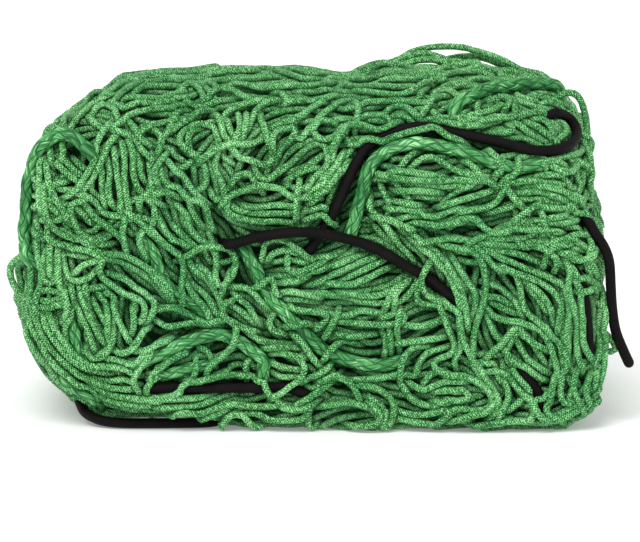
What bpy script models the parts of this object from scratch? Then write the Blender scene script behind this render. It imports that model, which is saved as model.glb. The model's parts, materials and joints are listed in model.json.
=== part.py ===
"""A green knotless sports net, folded away for storage.

The netting panel lies in flat rows of folds, three high and two deep. Its braided border rope and a black
elastic cord come to the surface of the folded stack in several places, and one end of the elastic cord hangs
free at the right. Units are metres, +Z is up, the stack's front faces -Y, and the origin is at the bottom
centre of the stack.
"""

import math

import bpy
from mathutils import Vector

# Driving dimensions
STACK_DEPTH = 0.1385
STACK_HEIGHT = 0.159
STACK_FRONT = -0.0640
ROPE_DIAMETER = 0.006
ELASTIC_DIAMETER = 0.005
GAP = 0.0003  # left between pieces that touch

# The rows of folds, bottom to top: left end, right end and height, the last as a share of the stack
FOLD_ROWS = {
    "bottom": (-0.1370, 0.1365, 0.318),
    "middle": (-0.1405, 0.1385, 0.323),
    "top": (-0.1330, 0.1285, 0.359),
}
FRONT_SHARE = 0.46  # of the stack's depth, taken by the front folds
FOLD_EDGE_RADIUS = 0.015  # how round a row's upper and lower edges are
FOLD_SQUARENESS = 5.0  # exponent of a row's outline seen from above
OUTLINE_POINTS = 32
EDGE_STEPS = 4

CORD_POINT_SPACING = 2.0  # in diameters, along a cord
BRIDGED = 0.012  # a cord on the front face spans a groove this far above and below it
CURVE_STEPS = 24  # points worked out between two points of a route before they are spaced evenly
TUBE_RESOLUTION = 3

NET_GREEN = (0.065, 0.216, 0.071, 1.0)
ROPE_GREEN = (0.085, 0.290, 0.100, 1.0)
ELASTIC_BLACK = (0.012, 0.010, 0.009, 1.0)


def plain_material(name, colour, roughness):
    material = bpy.data.materials.new(name)
    material.use_nodes = True
    shader = material.node_tree.nodes["Principled BSDF"]
    shader.inputs["Base Color"].default_value = colour
    shader.inputs["Roughness"].default_value = roughness
    shader.inputs["Metallic"].default_value = 0.0
    return material


def place(name, data, colour, roughness):
    """Puts a mesh or a curve into the scene as a named piece with a material of its own."""
    data.materials.append(plain_material(name, colour, roughness))
    piece = bpy.data.objects.new(name, data)
    bpy.context.scene.collection.objects.link(piece)
    return piece


class Fold:
    """One row of folds, front or back: a soft block with round edges and flat upper and lower sides."""

    def __init__(self, name, left, right, front, back, low, high):
        self.name = name
        self.middle = Vector(((left + right) / 2, (front + back) / 2, (low + high) / 2))
        self.half = Vector(((right - left) / 2, (back - front) / 2, (high - low) / 2))

    def inset(self, z):
        """How far the outline is drawn in at height z, by the round upper or lower edge."""
        into_edge = abs(z - self.middle.z) - (self.half.z - FOLD_EDGE_RADIUS)
        if into_edge <= 0:
            return 0.0
        share = min(into_edge / FOLD_EDGE_RADIUS, 1.0)
        return FOLD_EDGE_RADIUS * (1 - math.sqrt(1 - share * share))

    def outline(self, z):
        """The points of the outline at height z, anticlockwise seen from above."""
        reach = self.half - Vector((1, 1, 0)) * self.inset(z)
        points = []
        for step in range(OUTLINE_POINTS):
            angle = 2 * math.pi * step / OUTLINE_POINTS
            across = math.copysign(abs(math.cos(angle)) ** (2 / FOLD_SQUARENESS), math.cos(angle))
            along = math.copysign(abs(math.sin(angle)) ** (2 / FOLD_SQUARENESS), math.sin(angle))
            points.append((self.middle.x + reach.x * across, self.middle.y + reach.y * along, z))
        return points

    def front_at(self, x, z):
        """The y of the front surface at x and z, or None where the block isn't."""
        if abs(z - self.middle.z) > self.half.z:
            return None
        reach = self.half - Vector((1, 1, 0)) * self.inset(z)
        share = abs(x - self.middle.x) / reach.x
        if share >= 1:
            return None
        return self.middle.y - reach.y * (1 - share**FOLD_SQUARENESS) ** (1 / FOLD_SQUARENESS)

    def build(self):
        straight = self.half.z - FOLD_EDGE_RADIUS
        upper = [
            self.middle.z + straight + FOLD_EDGE_RADIUS * math.sin(math.pi / 2 * step / EDGE_STEPS)
            for step in range(EDGE_STEPS + 1)
        ]
        heights = [2 * self.middle.z - z for z in reversed(upper)] + upper
        vertices = [point for z in heights for point in self.outline(z)]
        faces = [tuple(reversed(range(OUTLINE_POINTS)))]
        for ring in range(len(heights) - 1):
            for step in range(OUTLINE_POINTS):
                here = ring * OUTLINE_POINTS + step
                beside = ring * OUTLINE_POINTS + (step + 1) % OUTLINE_POINTS
                faces.append((here, beside, beside + OUTLINE_POINTS, here + OUTLINE_POINTS))
        first_of_top = (len(heights) - 1) * OUTLINE_POINTS
        faces.append(tuple(range(first_of_top, first_of_top + OUTLINE_POINTS)))
        mesh = bpy.data.meshes.new(self.name)
        mesh.from_pydata(vertices, [], faces)
        mesh.shade_smooth()
        mesh.set_sharp_from_angle(angle=math.radians(40))
        return place(self.name, mesh, NET_GREEN, 0.75)


def make_folds():
    """Two rows of folds at each level, one at the front and one behind it."""
    folds = []
    split = STACK_FRONT + STACK_DEPTH * FRONT_SHARE
    low = 0.0
    for level, (left, right, share) in FOLD_ROWS.items():
        high = low + STACK_HEIGHT * share
        top = high - GAP if level != "top" else high
        folds.append(Fold(f"net_fold_{level}_front", left, right, STACK_FRONT, split - GAP / 2, low, top))
        back = STACK_FRONT + STACK_DEPTH
        folds.append(Fold(f"net_fold_{level}_back", left, right, split + GAP / 2, back, low, top))
        low = high
    for fold in folds:
        fold.build()
    return folds


def smooth_curve(route):
    """A smooth curve through the points of a route, as closely spaced points."""
    points = [Vector(p) for p in route]
    points = [2 * points[0] - points[1]] + points + [2 * points[-1] - points[-2]]
    curve = []
    for before, start, end, after in zip(points, points[1:], points[2:], points[3:]):
        for step in range(CURVE_STEPS):
            t = step / CURVE_STEPS
            curve.append(
                0.5
                * (
                    2 * start
                    + (end - before) * t
                    + (2 * before - 5 * start + 4 * end - after) * t**2
                    + (3 * start - before - 3 * end + after) * t**3
                )
            )
    curve.append(points[-2])
    return curve


def evenly_spaced(curve, spacing):
    """Points along a curve, evenly spaced at about the spacing given, with both ends kept."""
    travelled = [0.0]
    for here, there in zip(curve, curve[1:]):
        travelled.append(travelled[-1] + (there - here).length)
    count = max(2, round(travelled[-1] / spacing))
    points = []
    segment = 0
    for step in range(count + 1):
        goal = travelled[-1] * step / count
        while segment < len(curve) - 2 and travelled[segment + 1] < goal:
            segment += 1
        share = (goal - travelled[segment]) / (travelled[segment + 1] - travelled[segment])
        points.append(curve[segment].lerp(curve[segment + 1], min(share, 1.0)))
    return points


def make_cord(name, route, diameter, colour, roughness):
    """A round cord along a route, as a curve with a round bevel and closed ends."""
    curve = bpy.data.curves.new(name, "CURVE")
    curve.dimensions = "3D"
    curve.bevel_depth = diameter / 2
    curve.bevel_resolution = TUBE_RESOLUTION
    curve.use_fill_caps = True
    points = evenly_spaced(smooth_curve(route), CORD_POINT_SPACING * diameter)
    spline = curve.splines.new("POLY")
    spline.points.add(len(points) - 1)
    for target, point in zip(spline.points, points):
        target.co = (*point, 1.0)
    spline.use_smooth = True
    return place(name, curve, colour, roughness)


def on_the_front(folds, route, diameter):
    """A route of (x, z) or (x, z, lift) points laid on the front face, with lift as room for what passes
    under the cord."""
    laid = []
    for x, z, *lift in route:
        fronts = [
            fold.front_at(x, z + offset)
            for fold in folds
            for offset in (-BRIDGED, -BRIDGED / 2, 0.0, BRIDGED / 2, BRIDGED)
        ]
        front = min(y for y in fronts if y is not None)
        laid.append((x, front - GAP - diameter / 2 - sum(lift), z))
    return laid


# Where the border rope comes to the front of the stack, as (x, z)
ROPE_ON_FRONT = {
    "border_rope_left_lower": [(-0.1176, 0.0565), (-0.1155, 0.0480), (-0.1147, 0.0414), (-0.1109, 0.0346)],
    "border_rope_left_diagonal": [
        (-0.0826, 0.0940),
        (-0.0782, 0.0872),
        (-0.0739, 0.0755),
        (-0.0691, 0.0690),
        (-0.0605, 0.0633),
        (-0.0504, 0.0555),
    ],
    "border_rope_lower_bend": [
        (-0.0874, 0.0345),
        (-0.0773, 0.0365),
        (-0.0672, 0.0414),
        (-0.0571, 0.0448),
        (-0.0461, 0.0472),
        (-0.0365, 0.0438),
        (-0.0298, 0.0394),
        (-0.0254, 0.0336),
        (-0.0250, 0.0290),
    ],
    "border_rope_lower_strand": [(-0.0773, 0.0275), (-0.0650, 0.0290), (-0.0538, 0.0325)],
    "border_rope_centre_diagonal": [
        (-0.0331, 0.0850),
        (-0.0283, 0.0775),
        (-0.0235, 0.0687),
        (-0.0149, 0.0584),
        (-0.0067, 0.0497),
        (0.0019, 0.0414),
        (0.0120, 0.0360),
        (0.0221, 0.0331),
        (0.0322, 0.0321),
        (0.0413, 0.0336),
    ],
    "border_rope_upper_bend": [
        (0.0180, 0.1015),
        (0.0202, 0.1067),
        (0.0229, 0.1169),
        (0.0256, 0.1262),
        (0.0310, 0.1325),
        (0.0385, 0.1370),
        (0.0456, 0.1390),
        (0.0518, 0.1392),
        (0.0629, 0.1375),
        (0.0739, 0.1345),
        (0.0850, 0.1305),
        (0.0960, 0.1280),
        (0.1056, 0.1290),
    ],
    "border_rope_base_corner": [(-0.1200, 0.0205), (-0.1100, 0.0160), (-0.1000, 0.0135)],
}

# Where it runs round the stack's left end and over its top, as (x, y, z)
ROPE_ROUND_STACK = {
    "border_rope_left_loop": [
        (-0.1060, -0.0665, 0.1340),
        (-0.1125, -0.0660, 0.1420),
        (-0.1205, -0.0635, 0.1480),
        (-0.1290, -0.0580, 0.1490),
        (-0.1355, -0.0510, 0.1425),
        (-0.1374, -0.0470, 0.1300),
        (-0.1376, -0.0460, 0.1170),
        (-0.1372, -0.0460, 0.1065),
    ],
    "border_rope_top_run": [
        (0.0739, -0.0520, 0.1623),
        (0.0850, -0.0390, 0.1626),
        (0.0960, -0.0280, 0.1625),
        (0.1060, -0.0230, 0.1626),
        (0.1150, -0.0260, 0.1626),
    ],
}

# Where the elastic cord comes to the front, as (x, z) or (x, z, lift)
ELASTIC_ON_FRONT = {
    "elastic_cord_front_arc": [
        (-0.0398, 0.0906),
        (-0.0254, 0.0950, 0.0005),
        (-0.0110, 0.0964, 0.0034),
        (0.0000, 0.0966, 0.0057),
        (0.0070, 0.0962, 0.0057),
        (0.0150, 0.0940, 0.0034),
        (0.0270, 0.0900, 0.0005),
        (0.0384, 0.0843),
        (0.0461, 0.0789),
        (0.0533, 0.0745),
        (0.0686, 0.0618),
    ],
    "elastic_cord_right_edge": [(0.1235, 0.0720), (0.1250, 0.0620), (0.1258, 0.0500), (0.1262, 0.0400)],
    "elastic_cord_lower_front": [
        (-0.0782, 0.0205),
        (-0.0552, 0.0210),
        (-0.0250, 0.0205),
        (-0.0140, 0.0205),
        (-0.0038, 0.0180),
    ],
    "elastic_cord_lower_right": [(0.0990, 0.0290), (0.1027, 0.0243), (0.1065, 0.0190), (0.1075, 0.0120)],
}

# Where it lies on the ground, and where it rises over the front and turns back at the upper right, as
# (x, y, z)
ELASTIC_ROUND_STACK = {
    "elastic_cord_floor_run": [
        (-0.1109, -0.0635, 0.0062),
        (-0.1008, -0.0625, 0.0036),
        (-0.0907, -0.0620, 0.0029),
        (-0.0700, -0.0622, 0.0029),
        (-0.0504, -0.0618, 0.0029),
    ],
    "elastic_cord_upper_run": [
        (-0.0029, -0.0669, 0.0880),
        (-0.0010, -0.0669, 0.0911),
        (0.0038, -0.0669, 0.0975),
        (0.0115, -0.0669, 0.1135),
        (0.0178, -0.0669, 0.1275),
        (0.0245, -0.0669, 0.1380),
        (0.0318, -0.0669, 0.1435),
        (0.0389, -0.0669, 0.1460),
        (0.0499, -0.0668, 0.1480),
        (0.0629, -0.0668, 0.1460),
        (0.0778, -0.0668, 0.1432),
        (0.0922, -0.0664, 0.1400),
        (0.1070, -0.0652, 0.1368),
        (0.1181, -0.0630, 0.1373),
        (0.1248, -0.0590, 0.1417),
        (0.1262, -0.0565, 0.1470),
        (0.1238, -0.0575, 0.1519),
        (0.1190, -0.0580, 0.1550),
    ],
}

# The free end of the elastic cord: out of the stack between its middle and top folds, then down its right end
ELASTIC_TAIL_ROUTE = [
    (0.1280, -0.0550, 0.1018),
    (0.1318, -0.0590, 0.0995),
    (0.1349, -0.0610, 0.0945),
    (0.1392, -0.0610, 0.0877),
    (0.1416, -0.0605, 0.0804),
    (0.1424, -0.0600, 0.0692),
    (0.1432, -0.0595, 0.0580),
    (0.1450, -0.0590, 0.0468),
    (0.1488, -0.0585, 0.0370),
    (0.1526, -0.0580, 0.0287),
]


def make_ropes(folds):
    """The stretches of the border rope that show."""
    for name, route in ROPE_ON_FRONT.items():
        make_cord(name, on_the_front(folds, route, ROPE_DIAMETER), ROPE_DIAMETER, ROPE_GREEN, 0.45)
    for name, route in ROPE_ROUND_STACK.items():
        make_cord(name, route, ROPE_DIAMETER, ROPE_GREEN, 0.45)


def make_elastics(folds):
    """The stretches of the elastic cord that show, with its free end."""
    for name, route in ELASTIC_ON_FRONT.items():
        make_cord(name, on_the_front(folds, route, ELASTIC_DIAMETER), ELASTIC_DIAMETER, ELASTIC_BLACK, 0.6)
    for name, route in ELASTIC_ROUND_STACK.items():
        make_cord(name, route, ELASTIC_DIAMETER, ELASTIC_BLACK, 0.6)
    make_cord("elastic_cord_tail", ELASTIC_TAIL_ROUTE, ELASTIC_DIAMETER, ELASTIC_BLACK, 0.6)


def main():
    for thing in list(bpy.data.objects):
        bpy.data.objects.remove(thing, do_unlink=True)
    folds = make_folds()
    make_ropes(folds)
    make_elastics(folds)


main()
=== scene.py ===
import json
import math

import bpy
import numpy as np
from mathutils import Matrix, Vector

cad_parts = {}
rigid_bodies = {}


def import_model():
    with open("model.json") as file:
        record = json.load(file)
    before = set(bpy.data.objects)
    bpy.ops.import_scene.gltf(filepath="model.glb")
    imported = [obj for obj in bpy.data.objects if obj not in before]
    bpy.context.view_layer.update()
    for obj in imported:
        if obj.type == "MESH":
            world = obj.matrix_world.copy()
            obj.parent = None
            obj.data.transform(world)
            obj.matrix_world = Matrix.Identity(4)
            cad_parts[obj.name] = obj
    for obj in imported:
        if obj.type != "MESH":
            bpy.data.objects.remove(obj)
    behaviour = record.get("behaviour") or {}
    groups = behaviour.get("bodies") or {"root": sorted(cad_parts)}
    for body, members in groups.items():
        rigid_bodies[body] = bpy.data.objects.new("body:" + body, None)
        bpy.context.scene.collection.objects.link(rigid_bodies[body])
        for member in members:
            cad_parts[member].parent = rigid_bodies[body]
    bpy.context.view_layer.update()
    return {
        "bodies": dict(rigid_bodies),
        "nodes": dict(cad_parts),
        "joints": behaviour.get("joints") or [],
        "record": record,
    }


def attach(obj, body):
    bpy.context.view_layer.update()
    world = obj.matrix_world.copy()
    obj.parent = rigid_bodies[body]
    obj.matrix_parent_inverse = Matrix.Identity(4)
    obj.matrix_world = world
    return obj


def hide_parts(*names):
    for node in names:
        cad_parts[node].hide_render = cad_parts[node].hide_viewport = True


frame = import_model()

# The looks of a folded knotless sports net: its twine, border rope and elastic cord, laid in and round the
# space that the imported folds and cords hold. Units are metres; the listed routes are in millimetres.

MM = 0.001
TWINE = 0.0034
ROPE = 0.0064
ELASTIC = 0.0050
MESH_BAR = 0.045  # from one tie of two twines to the next
PAINTED_SHADE_GREEN = (0.007, 0.054, 0.013, 1.0)  # painted shade colour of twine deep between others

STEP = 0.0022  # between two points of a twine
TWINE_SIDES = 6
TWINE_COLUMNS = 5.0  # pairs of stitches round a twine
STITCH = 0.0012
CORD_STEP = 0.0015
ELASTIC_SIDES = 18
ROPE_STEP = 0.0006
ROPE_SIDES = 40
BRAID_STRANDS = 4  # that slant each way
BRAID_LAY = 0.0110
SEED = 20

# The body that the outermost twines fill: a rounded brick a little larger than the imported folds
BODY_CENTRE = np.array((0.0, 0.0025, 0.0780))
BODY_HALF = np.array((0.1415, 0.0725, 0.0780))
CORNERS = {"top left": 0.070, "top right": 0.028, "bottom left": 0.054, "bottom right": 0.024}
EDGE_HEIGHTS = (0.0, 0.030, 0.080, 0.140)  # at which the rim has the radius given next
EDGE_RADII = (0.005, 0.016, 0.020, 0.040)  # between the front or back face and the rim round it
SHOULDER = 0.025  # less radius in front than behind, at the top left
RIGHT_REACH = 0.975  # of the lower right lobe, as a share of half the body's length
LOBE_STEP = 0.045  # by which the upper right lobe reaches less
NOTCH = 0.030  # by which the body reaches less where the two lobes meet
LEFT_TAPER = 0.030  # by which the body reaches less at the top left
DOME_FALLS = (1.5, 0.8)  # how fast the dome falls to the right and to the left end
LOWEST_DOME = -0.004  # from the body's height, that the dome falls to at the ends
CROWN = 0.0015  # of the front and back faces over their rims
FRONT_LEFT_EDGE = 0.45  # by how much of itself the edge radius gets less there
TOP_RISE = 0.0088  # of the domed top over the body's height
TOP_CREST = 0.004  # y of the dome's highest line
TOP_DIPS = ((0.017, 0.0042, 0.016), (-0.055, 0.0024, 0.016))  # x, depth and half width of each
FLOOR_GAP = 0.0077  # under the front's lower left edge, where the elastic lies on the floor
FOOT = 0.075  # how far the faces spread towards the ground, for each metre under the body's middle
LOBE_SPLIT = 0.1025  # height of the notch between the two lobes at the right end
LUMP = 0.0016  # height and hollow of the body's slow waves
LUMP_LENGTH = 0.055

# Depths of the layers of twine under the body's surface
TOP_DEPTH = 0.0002
LOOSE_DEPTH = -0.0008
CORD_DEPTH = -0.0008
PROUD = 0.0020  # of the surface, for the stretches of elastic cord that no twine crosses
MOST_PROUD = 0.0046  # where the rope bends round the left shoulder
OUTER_DEPTH = -0.0032
BARE_RISE = 0.0018  # of the outer layer towards the ends and the top, where fewer twines lie on it
MIDDLE_DEPTH = -0.0064
CORE_DEPTH = -0.0088
DARK_DEPTH = -0.0052  # where light hardly reaches between twines; from here up to LIT_DEPTH the twine's colour goes from painted shade to unshaded
LIT_DEPTH = 0.0022
MOST_LIFT = 0.0046  # of a listed twine that crosses others
LOOSE_LIFT = 0.0026  # of the other twines that do
LAYING_SPREAD = 0.0008  # up or down, between one listed twine and another
RAY_REACH = 0.036  # how far behind the picture plane a listed twine may lie at the left and right ends
LAID_PROUD = 0.0030  # how far it may stand out from its depth where it passes the outline

# How a run goes on under its neighbours at each end: how far out, how far down, and in how many points
ELASTIC_DIVE = (0.006, 0.010, 7)
ROPE_DIVE = (0.007, 0.009, 7)
TOP_DIVE = (0.007, 0.0100, 5)
LOOSE_DIVE = (0.006, 0.0080, 5)
OUTER_DIVE = (0.006, 0.0050, 5)
MIDDLE_DIVE = (0.005, 0.0035, 4)

# How strongly the twines of a layer are held where they were laid, and how far they may rise from there
TOP_FREEDOM = (0.50, 0.0008)
CLEAR_FREEDOM = (0.60, 0.0)
LOOSE_FREEDOM = (0.20, 0.0008)
OUTER_FREEDOM = (0.10, 0.0006)
MIDDLE_FREEDOM = (0.05, 0.0010)

HIGHEST_COPY = 0.150  # z that a front twine may reach if the back has a copy of it
ROW_SPACING = 0.0038  # between twines that run side by side
OUTER_TWIST = 0.35  # radians by which the twines of a layer turn away from the flow
MIDDLE_TWIST = 0.25
OUTER_SWAY = 0.0012
MIDDLE_SWAY = 0.0010
WANDERING_LINES = 46
SETTLING_ROUNDS = 40
FOLD_HEIGHTS = (0.0505, 0.1017)  # between the three rows of folds

# Where the elastic cord lies on top of all twines, in metres of x, and where it starts to go under them
ARC_CLEAR_TO = 0.046
ARC_SINKS = (0.040, 0.058)
UPPER_RUN_CLEAR_FROM = 0.080
UPPER_RUN_RISES = (0.070, 0.100)
CROSSING_RISE = 0.0030  # of the arc where it passes over the upper run
CROSSING_LENGTH = 0.016
UPPER_RUN_SMOOTHINGS = 24

VIEW_TILT = math.radians(10)  # how far the camera looks down on the front face
PICTURE_PLANE = -0.0700  # y of the plane that (x, z) routes are given on
VIEW_TARGET = (0.0024, -0.0700, 0.0780)
VIEW_WIDTH = 0.307  # of the picture, at the target
CAMERA_DISTANCE = 3.0
SENSOR_WIDTH = 36.0

SKY_LIGHT = 0.66  # of the surroundings, as they light the net
SKY_SEEN = 1.10  # as the camera sees them
KEY_FROM = (-0.25, -0.75, 1.0)
KEY_WIDTH = 34.0  # of the light's disc, in degrees
KEY_STRENGTH = 2.0
FLOOR_REACH = 8.0
FLOOR_GREY = 0.92
FLOOR_GLOW = 0.20


def smooth_step(value, low, high):
    share = np.clip((value - low) / (high - low), 0.0, 1.0)
    return share * share * (3 - 2 * share)


def unit(vectors):
    return vectors / np.maximum(np.linalg.norm(vectors, axis=-1, keepdims=True), 1e-12)


def ripple(points, seed, wavelength):
    """Smooth noise from about -1 to 1, as the sum of a few plane waves."""
    random = np.random.default_rng(seed)
    count = 6
    waves = unit(random.normal(size=(count, 3))) * (2 * math.pi / wavelength)
    waves *= random.uniform(0.7, 1.4, (count, 1))
    return np.sin(points @ waves.T + random.uniform(0, 2 * math.pi, count)).sum(axis=1) / 2.4


# ---------------------------------------------------------------------------------------------- the body


def body_distance(points):
    """Signed distance to the body's surface, negative inside."""
    x, y, z = (points - BODY_CENTRE).T
    height = points[:, 2]
    reach = RIGHT_REACH - LOBE_STEP * smooth_step(height, LOBE_SPLIT - 0.006, LOBE_SPLIT + 0.006)
    reach = reach - NOTCH * np.exp(-(((height - LOBE_SPLIT) / 0.005) ** 2))
    x = np.where(x > 0, x / reach, x / (1 - LEFT_TAPER * smooth_step(height, 0.100, 0.145)))
    shoulder = SHOULDER * smooth_step(-points[:, 1], 0.010, 0.045)
    top = np.where(x > 0, CORNERS["top right"], CORNERS["top left"] - shoulder)
    bottom = np.where(x > 0, CORNERS["bottom right"], CORNERS["bottom left"])
    radius = np.where(z > 0, top, bottom)
    across = np.abs(x) - BODY_HALF[0] + radius
    fall = np.where(x > 0, DOME_FALLS[0], DOME_FALLS[1]) * (x / BODY_HALF[0]) ** 4
    dome = TOP_RISE * (1 - ((points[:, 1] - TOP_CREST) / BODY_HALF[1]) ** 2 - fall)
    for centre, dip, width in TOP_DIPS:
        dome = dome - dip * np.exp(-(((points[:, 0] - centre) / width) ** 2))
    gap = FLOOR_GAP * smooth_step(-points[:, 0], 0.038, 0.056) * smooth_step(-points[:, 1], 0.044, 0.060)
    up = np.abs(z) - BODY_HALF[2] + radius - np.where(z > 0, np.maximum(dome, LOWEST_DOME), -gap)
    rim = np.hypot(np.maximum(across, 0), np.maximum(up, 0)) + np.minimum(np.maximum(across, up), 0) - radius
    crown = CROWN * (1 - (x / BODY_HALF[0]) ** 2) * (1 - (z / BODY_HALF[2]) ** 2)
    face = np.abs(y) - BODY_HALF[1] - np.maximum(crown, 0) + FOOT * np.minimum(z, 0)
    edge = np.interp(height, EDGE_HEIGHTS, EDGE_RADII)
    thinner = FRONT_LEFT_EDGE * smooth_step(-x, 0.070, 0.110) * smooth_step(height, 0.100, 0.135)
    edge = edge * (1 - thinner)
    rim, face = rim + edge, face + edge
    inside = np.minimum(np.maximum(rim, face), 0)
    distance = inside + np.hypot(np.maximum(rim, 0), np.maximum(face, 0)) - edge
    return distance - LUMP * ripple(points, 3, LUMP_LENGTH)


def body_normal(points):
    """The outward direction of the body's nearest surface."""
    nudge = 0.0006
    here = body_distance(points)
    slope = [body_distance(points + nudge * axis) - here for axis in np.eye(3)]
    return unit(np.stack(slope, axis=1)), here


def on_level(points, depth):
    """Moves points along the body's normal to the depth given."""
    for _ in range(2):
        normal, here = body_normal(points)
        points = points - normal * (here - depth)[:, None]
    return points


def onto_front(route, depth):
    """Lays an (x, z) route in millimetres on the body, along the direction in which the camera looks."""
    route = np.array(route, float) * MM
    start = np.stack([route[:, 0], np.full(len(route), PICTURE_PLANE), route[:, 1]], axis=1)
    look = np.array((0.0, math.cos(VIEW_TILT), -math.sin(VIEW_TILT)))
    along = np.linspace(-0.03, 0.10, 131)
    ray = start[:, None] + along[None, :, None] * look
    distance = body_distance(ray.reshape(-1, 3)).reshape(len(route), -1) - depth
    hit = distance < 0
    first = np.where(hit.any(axis=1), hit.argmax(axis=1), (distance + 0.3 * along).argmin(axis=1))
    first = np.maximum(first, 1)
    rows = np.arange(len(route))
    before, after = distance[rows, first - 1], distance[rows, first]
    share = np.clip(before / np.where(before == after, 1, before - after), 0, 1)
    travel = along[first - 1] + share * (along[1] - along[0])
    farthest = np.interp(np.abs(route[:, 0]), (0.105, 0.120), (0.10, RAY_REACH))
    points = start + np.minimum(travel, farthest)[:, None] * look
    return on_level(points, np.minimum(body_distance(points), depth + LAID_PROUD))


# ---------------------------------------------------------------------------------------------- routes


def smooth_route(route, spacing):
    """Evenly spaced points on a smooth curve through the points of a route."""
    points = np.asarray(route, float)
    points = np.vstack([2 * points[0] - points[1], points, 2 * points[-1] - points[-2]])
    t = np.linspace(0, 1, 24, endpoint=False)[:, None]
    parts = []
    for before, start, end, after in zip(points, points[1:], points[2:], points[3:]):
        bend = 2 * before - 5 * start + 4 * end - after
        twist = 3 * start - before - 3 * end + after
        parts.append(0.5 * (2 * start + (end - before) * t + bend * t**2 + twist * t**3))
    curve = np.vstack(parts + [points[-2:-1]])
    travelled = np.concatenate([[0], np.cumsum(np.linalg.norm(np.diff(curve, axis=0), axis=1))])
    count = max(2, round(travelled[-1] / spacing))
    goals = np.linspace(0, travelled[-1], count + 1)
    return np.stack([np.interp(goals, travelled, curve[:, k]) for k in range(3)], axis=1)


def read_routes(text):
    """Routes from lines of x,z points. A line that starts with # only says where the ones below it are."""
    lines = [line for line in text.replace("+\n", "").splitlines() if line and not line.startswith("#")]
    return [[tuple(map(float, point.split(","))) for point in line.split()] for line in lines]


# The border rope where it comes to the front, as (x, z) in millimetres
ROPE_ON_FRONT = {
    "border_rope_left_lower": [(-118, 57), (-116, 48), (-115, 41), (-111, 35)],
    "border_rope_left_diagonal": [(-83, 94), (-78, 87), (-74, 76), (-69, 69), (-61, 63), (-50, 56)],
    "border_rope_lower_bend": [
        (-87, 33), (-77, 36), (-67, 41), (-57, 45), (-46, 47), (-37, 44), (-30, 39), (-25, 34), (-25, 28),
    ],
    "border_rope_lower_strand": [(-77, 27), (-65, 29), (-54, 32)],
    "border_rope_centre_diagonal": [
        (-33, 87), (-28, 78), (-24, 69), (-15, 58), (-7, 50), (2, 41), (12, 36), (22, 33),
        (32, 32), (41, 34),
    ],
    "border_rope_upper_bend": [
        (17, 96), (19, 102), (20, 107), (23, 117), (25, 126), (30, 133), (38, 138), (46, 140), (52, 140),
        (63, 138), (74, 135), (85, 131), (96, 128), (106, 130),
    ],
    "border_rope_base_corner": [(-122, 19), (-111, 13), (-101, 11)],
}

# How far under the surface a run of rope lies that twines cross
ROPE_DEPTHS = {
    "border_rope_left_lower": -0.0042,
    "border_rope_left_diagonal": -0.0028,
    "border_rope_lower_bend": -0.0014,
    "border_rope_lower_strand": -0.0030,
    "border_rope_centre_diagonal": -0.0016,
    "border_rope_upper_bend": -0.0012,
    "border_rope_base_corner": -0.0040,
}

# The border rope round the left end and on top, as (x, y, z) in millimetres
ROPE_ROUND_BODY = {
    "border_rope_left_loop": [
        (-109, -68, 136), (-112, -70, 140), (-116, -70, 144), (-122, -67, 146), (-128, -63, 142),
        (-133, -60, 135), (-136, -58, 126), (-138, -57, 116), (-139, -57, 105), (-140, -57, 93),
        (-138, -60, 84),
    ],
    "border_rope_top_run": [
        (70, -51, 158), (78, -43, 160), (86, -36, 162), (96, -30, 162), (104, -25, 162), (112, -19, 161),
        (118, -16, 160),
    ],
}

# The elastic cord where it comes to the front, as (x, z) in millimetres
ELASTIC_ON_FRONT = {
    "elastic_cord_lower_front": [(-78, 21), (-55, 21), (-25, 21), (-14, 21), (-4, 18)],
    "elastic_cord_lower_right": [(99, 29), (103, 24), (107, 19), (108, 12)],
    "elastic_cord_right_edge": [(126, 76), (129, 66), (131, 52), (132, 38)],
}
# The run that rises over the front passes under the arc
ELASTIC_UPPER_RUN = [
    (-3, 88), (-1, 91), (4, 97), (12, 113), (18, 127), (24, 138), (32, 143), (39, 146), (50, 149),
    (63, 146),
    (78, 143), (92, 139), (102, 136), (109, 135), (116, 136), (122, 139), (125, 144), (125, 149),
    (121, 153),
    (115, 154),
]

# The arc over the middle of the front
ELASTIC_ARC = [
    (-40, 91), (-25, 95), (-11, 97), (0, 97), (7, 96), (15, 94), (27, 90), (38, 84), (46, 79), (53, 75),
    (69, 62),
]

# The elastic cord on the ground, as (x, y, z) in metres
ELASTIC_ON_FLOOR = [
    (-0.1150, -0.0330, 0.0150),
    (-0.1145, -0.0440, 0.0100),
    (-0.1115, -0.0550, 0.0062),
    (-0.1060, -0.0615, 0.0042),
    (-0.1000, -0.0645, 0.0032),
    (-0.0907, -0.0660, 0.0028),
    (-0.0700, -0.0655, 0.0027),
    (-0.0504, -0.0630, 0.0027),
    (-0.0440, -0.0560, 0.0040),
    (-0.0400, -0.0450, 0.0070),
    (-0.0385, -0.0350, 0.0105),
]

# The free end of the elastic cord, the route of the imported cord, as (x, y, z) in metres
ELASTIC_TAIL_ROUTE = [
    (0.1280, -0.0550, 0.1018),
    (0.1318, -0.0590, 0.0995),
    (0.1349, -0.0610, 0.0945),
    (0.1392, -0.0610, 0.0877),
    (0.1416, -0.0605, 0.0804),
    (0.1424, -0.0600, 0.0692),
    (0.1432, -0.0595, 0.0580),
    (0.1450, -0.0590, 0.0468),
    (0.1488, -0.0585, 0.0370),
    (0.1526, -0.0580, 0.0287),
]

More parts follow.
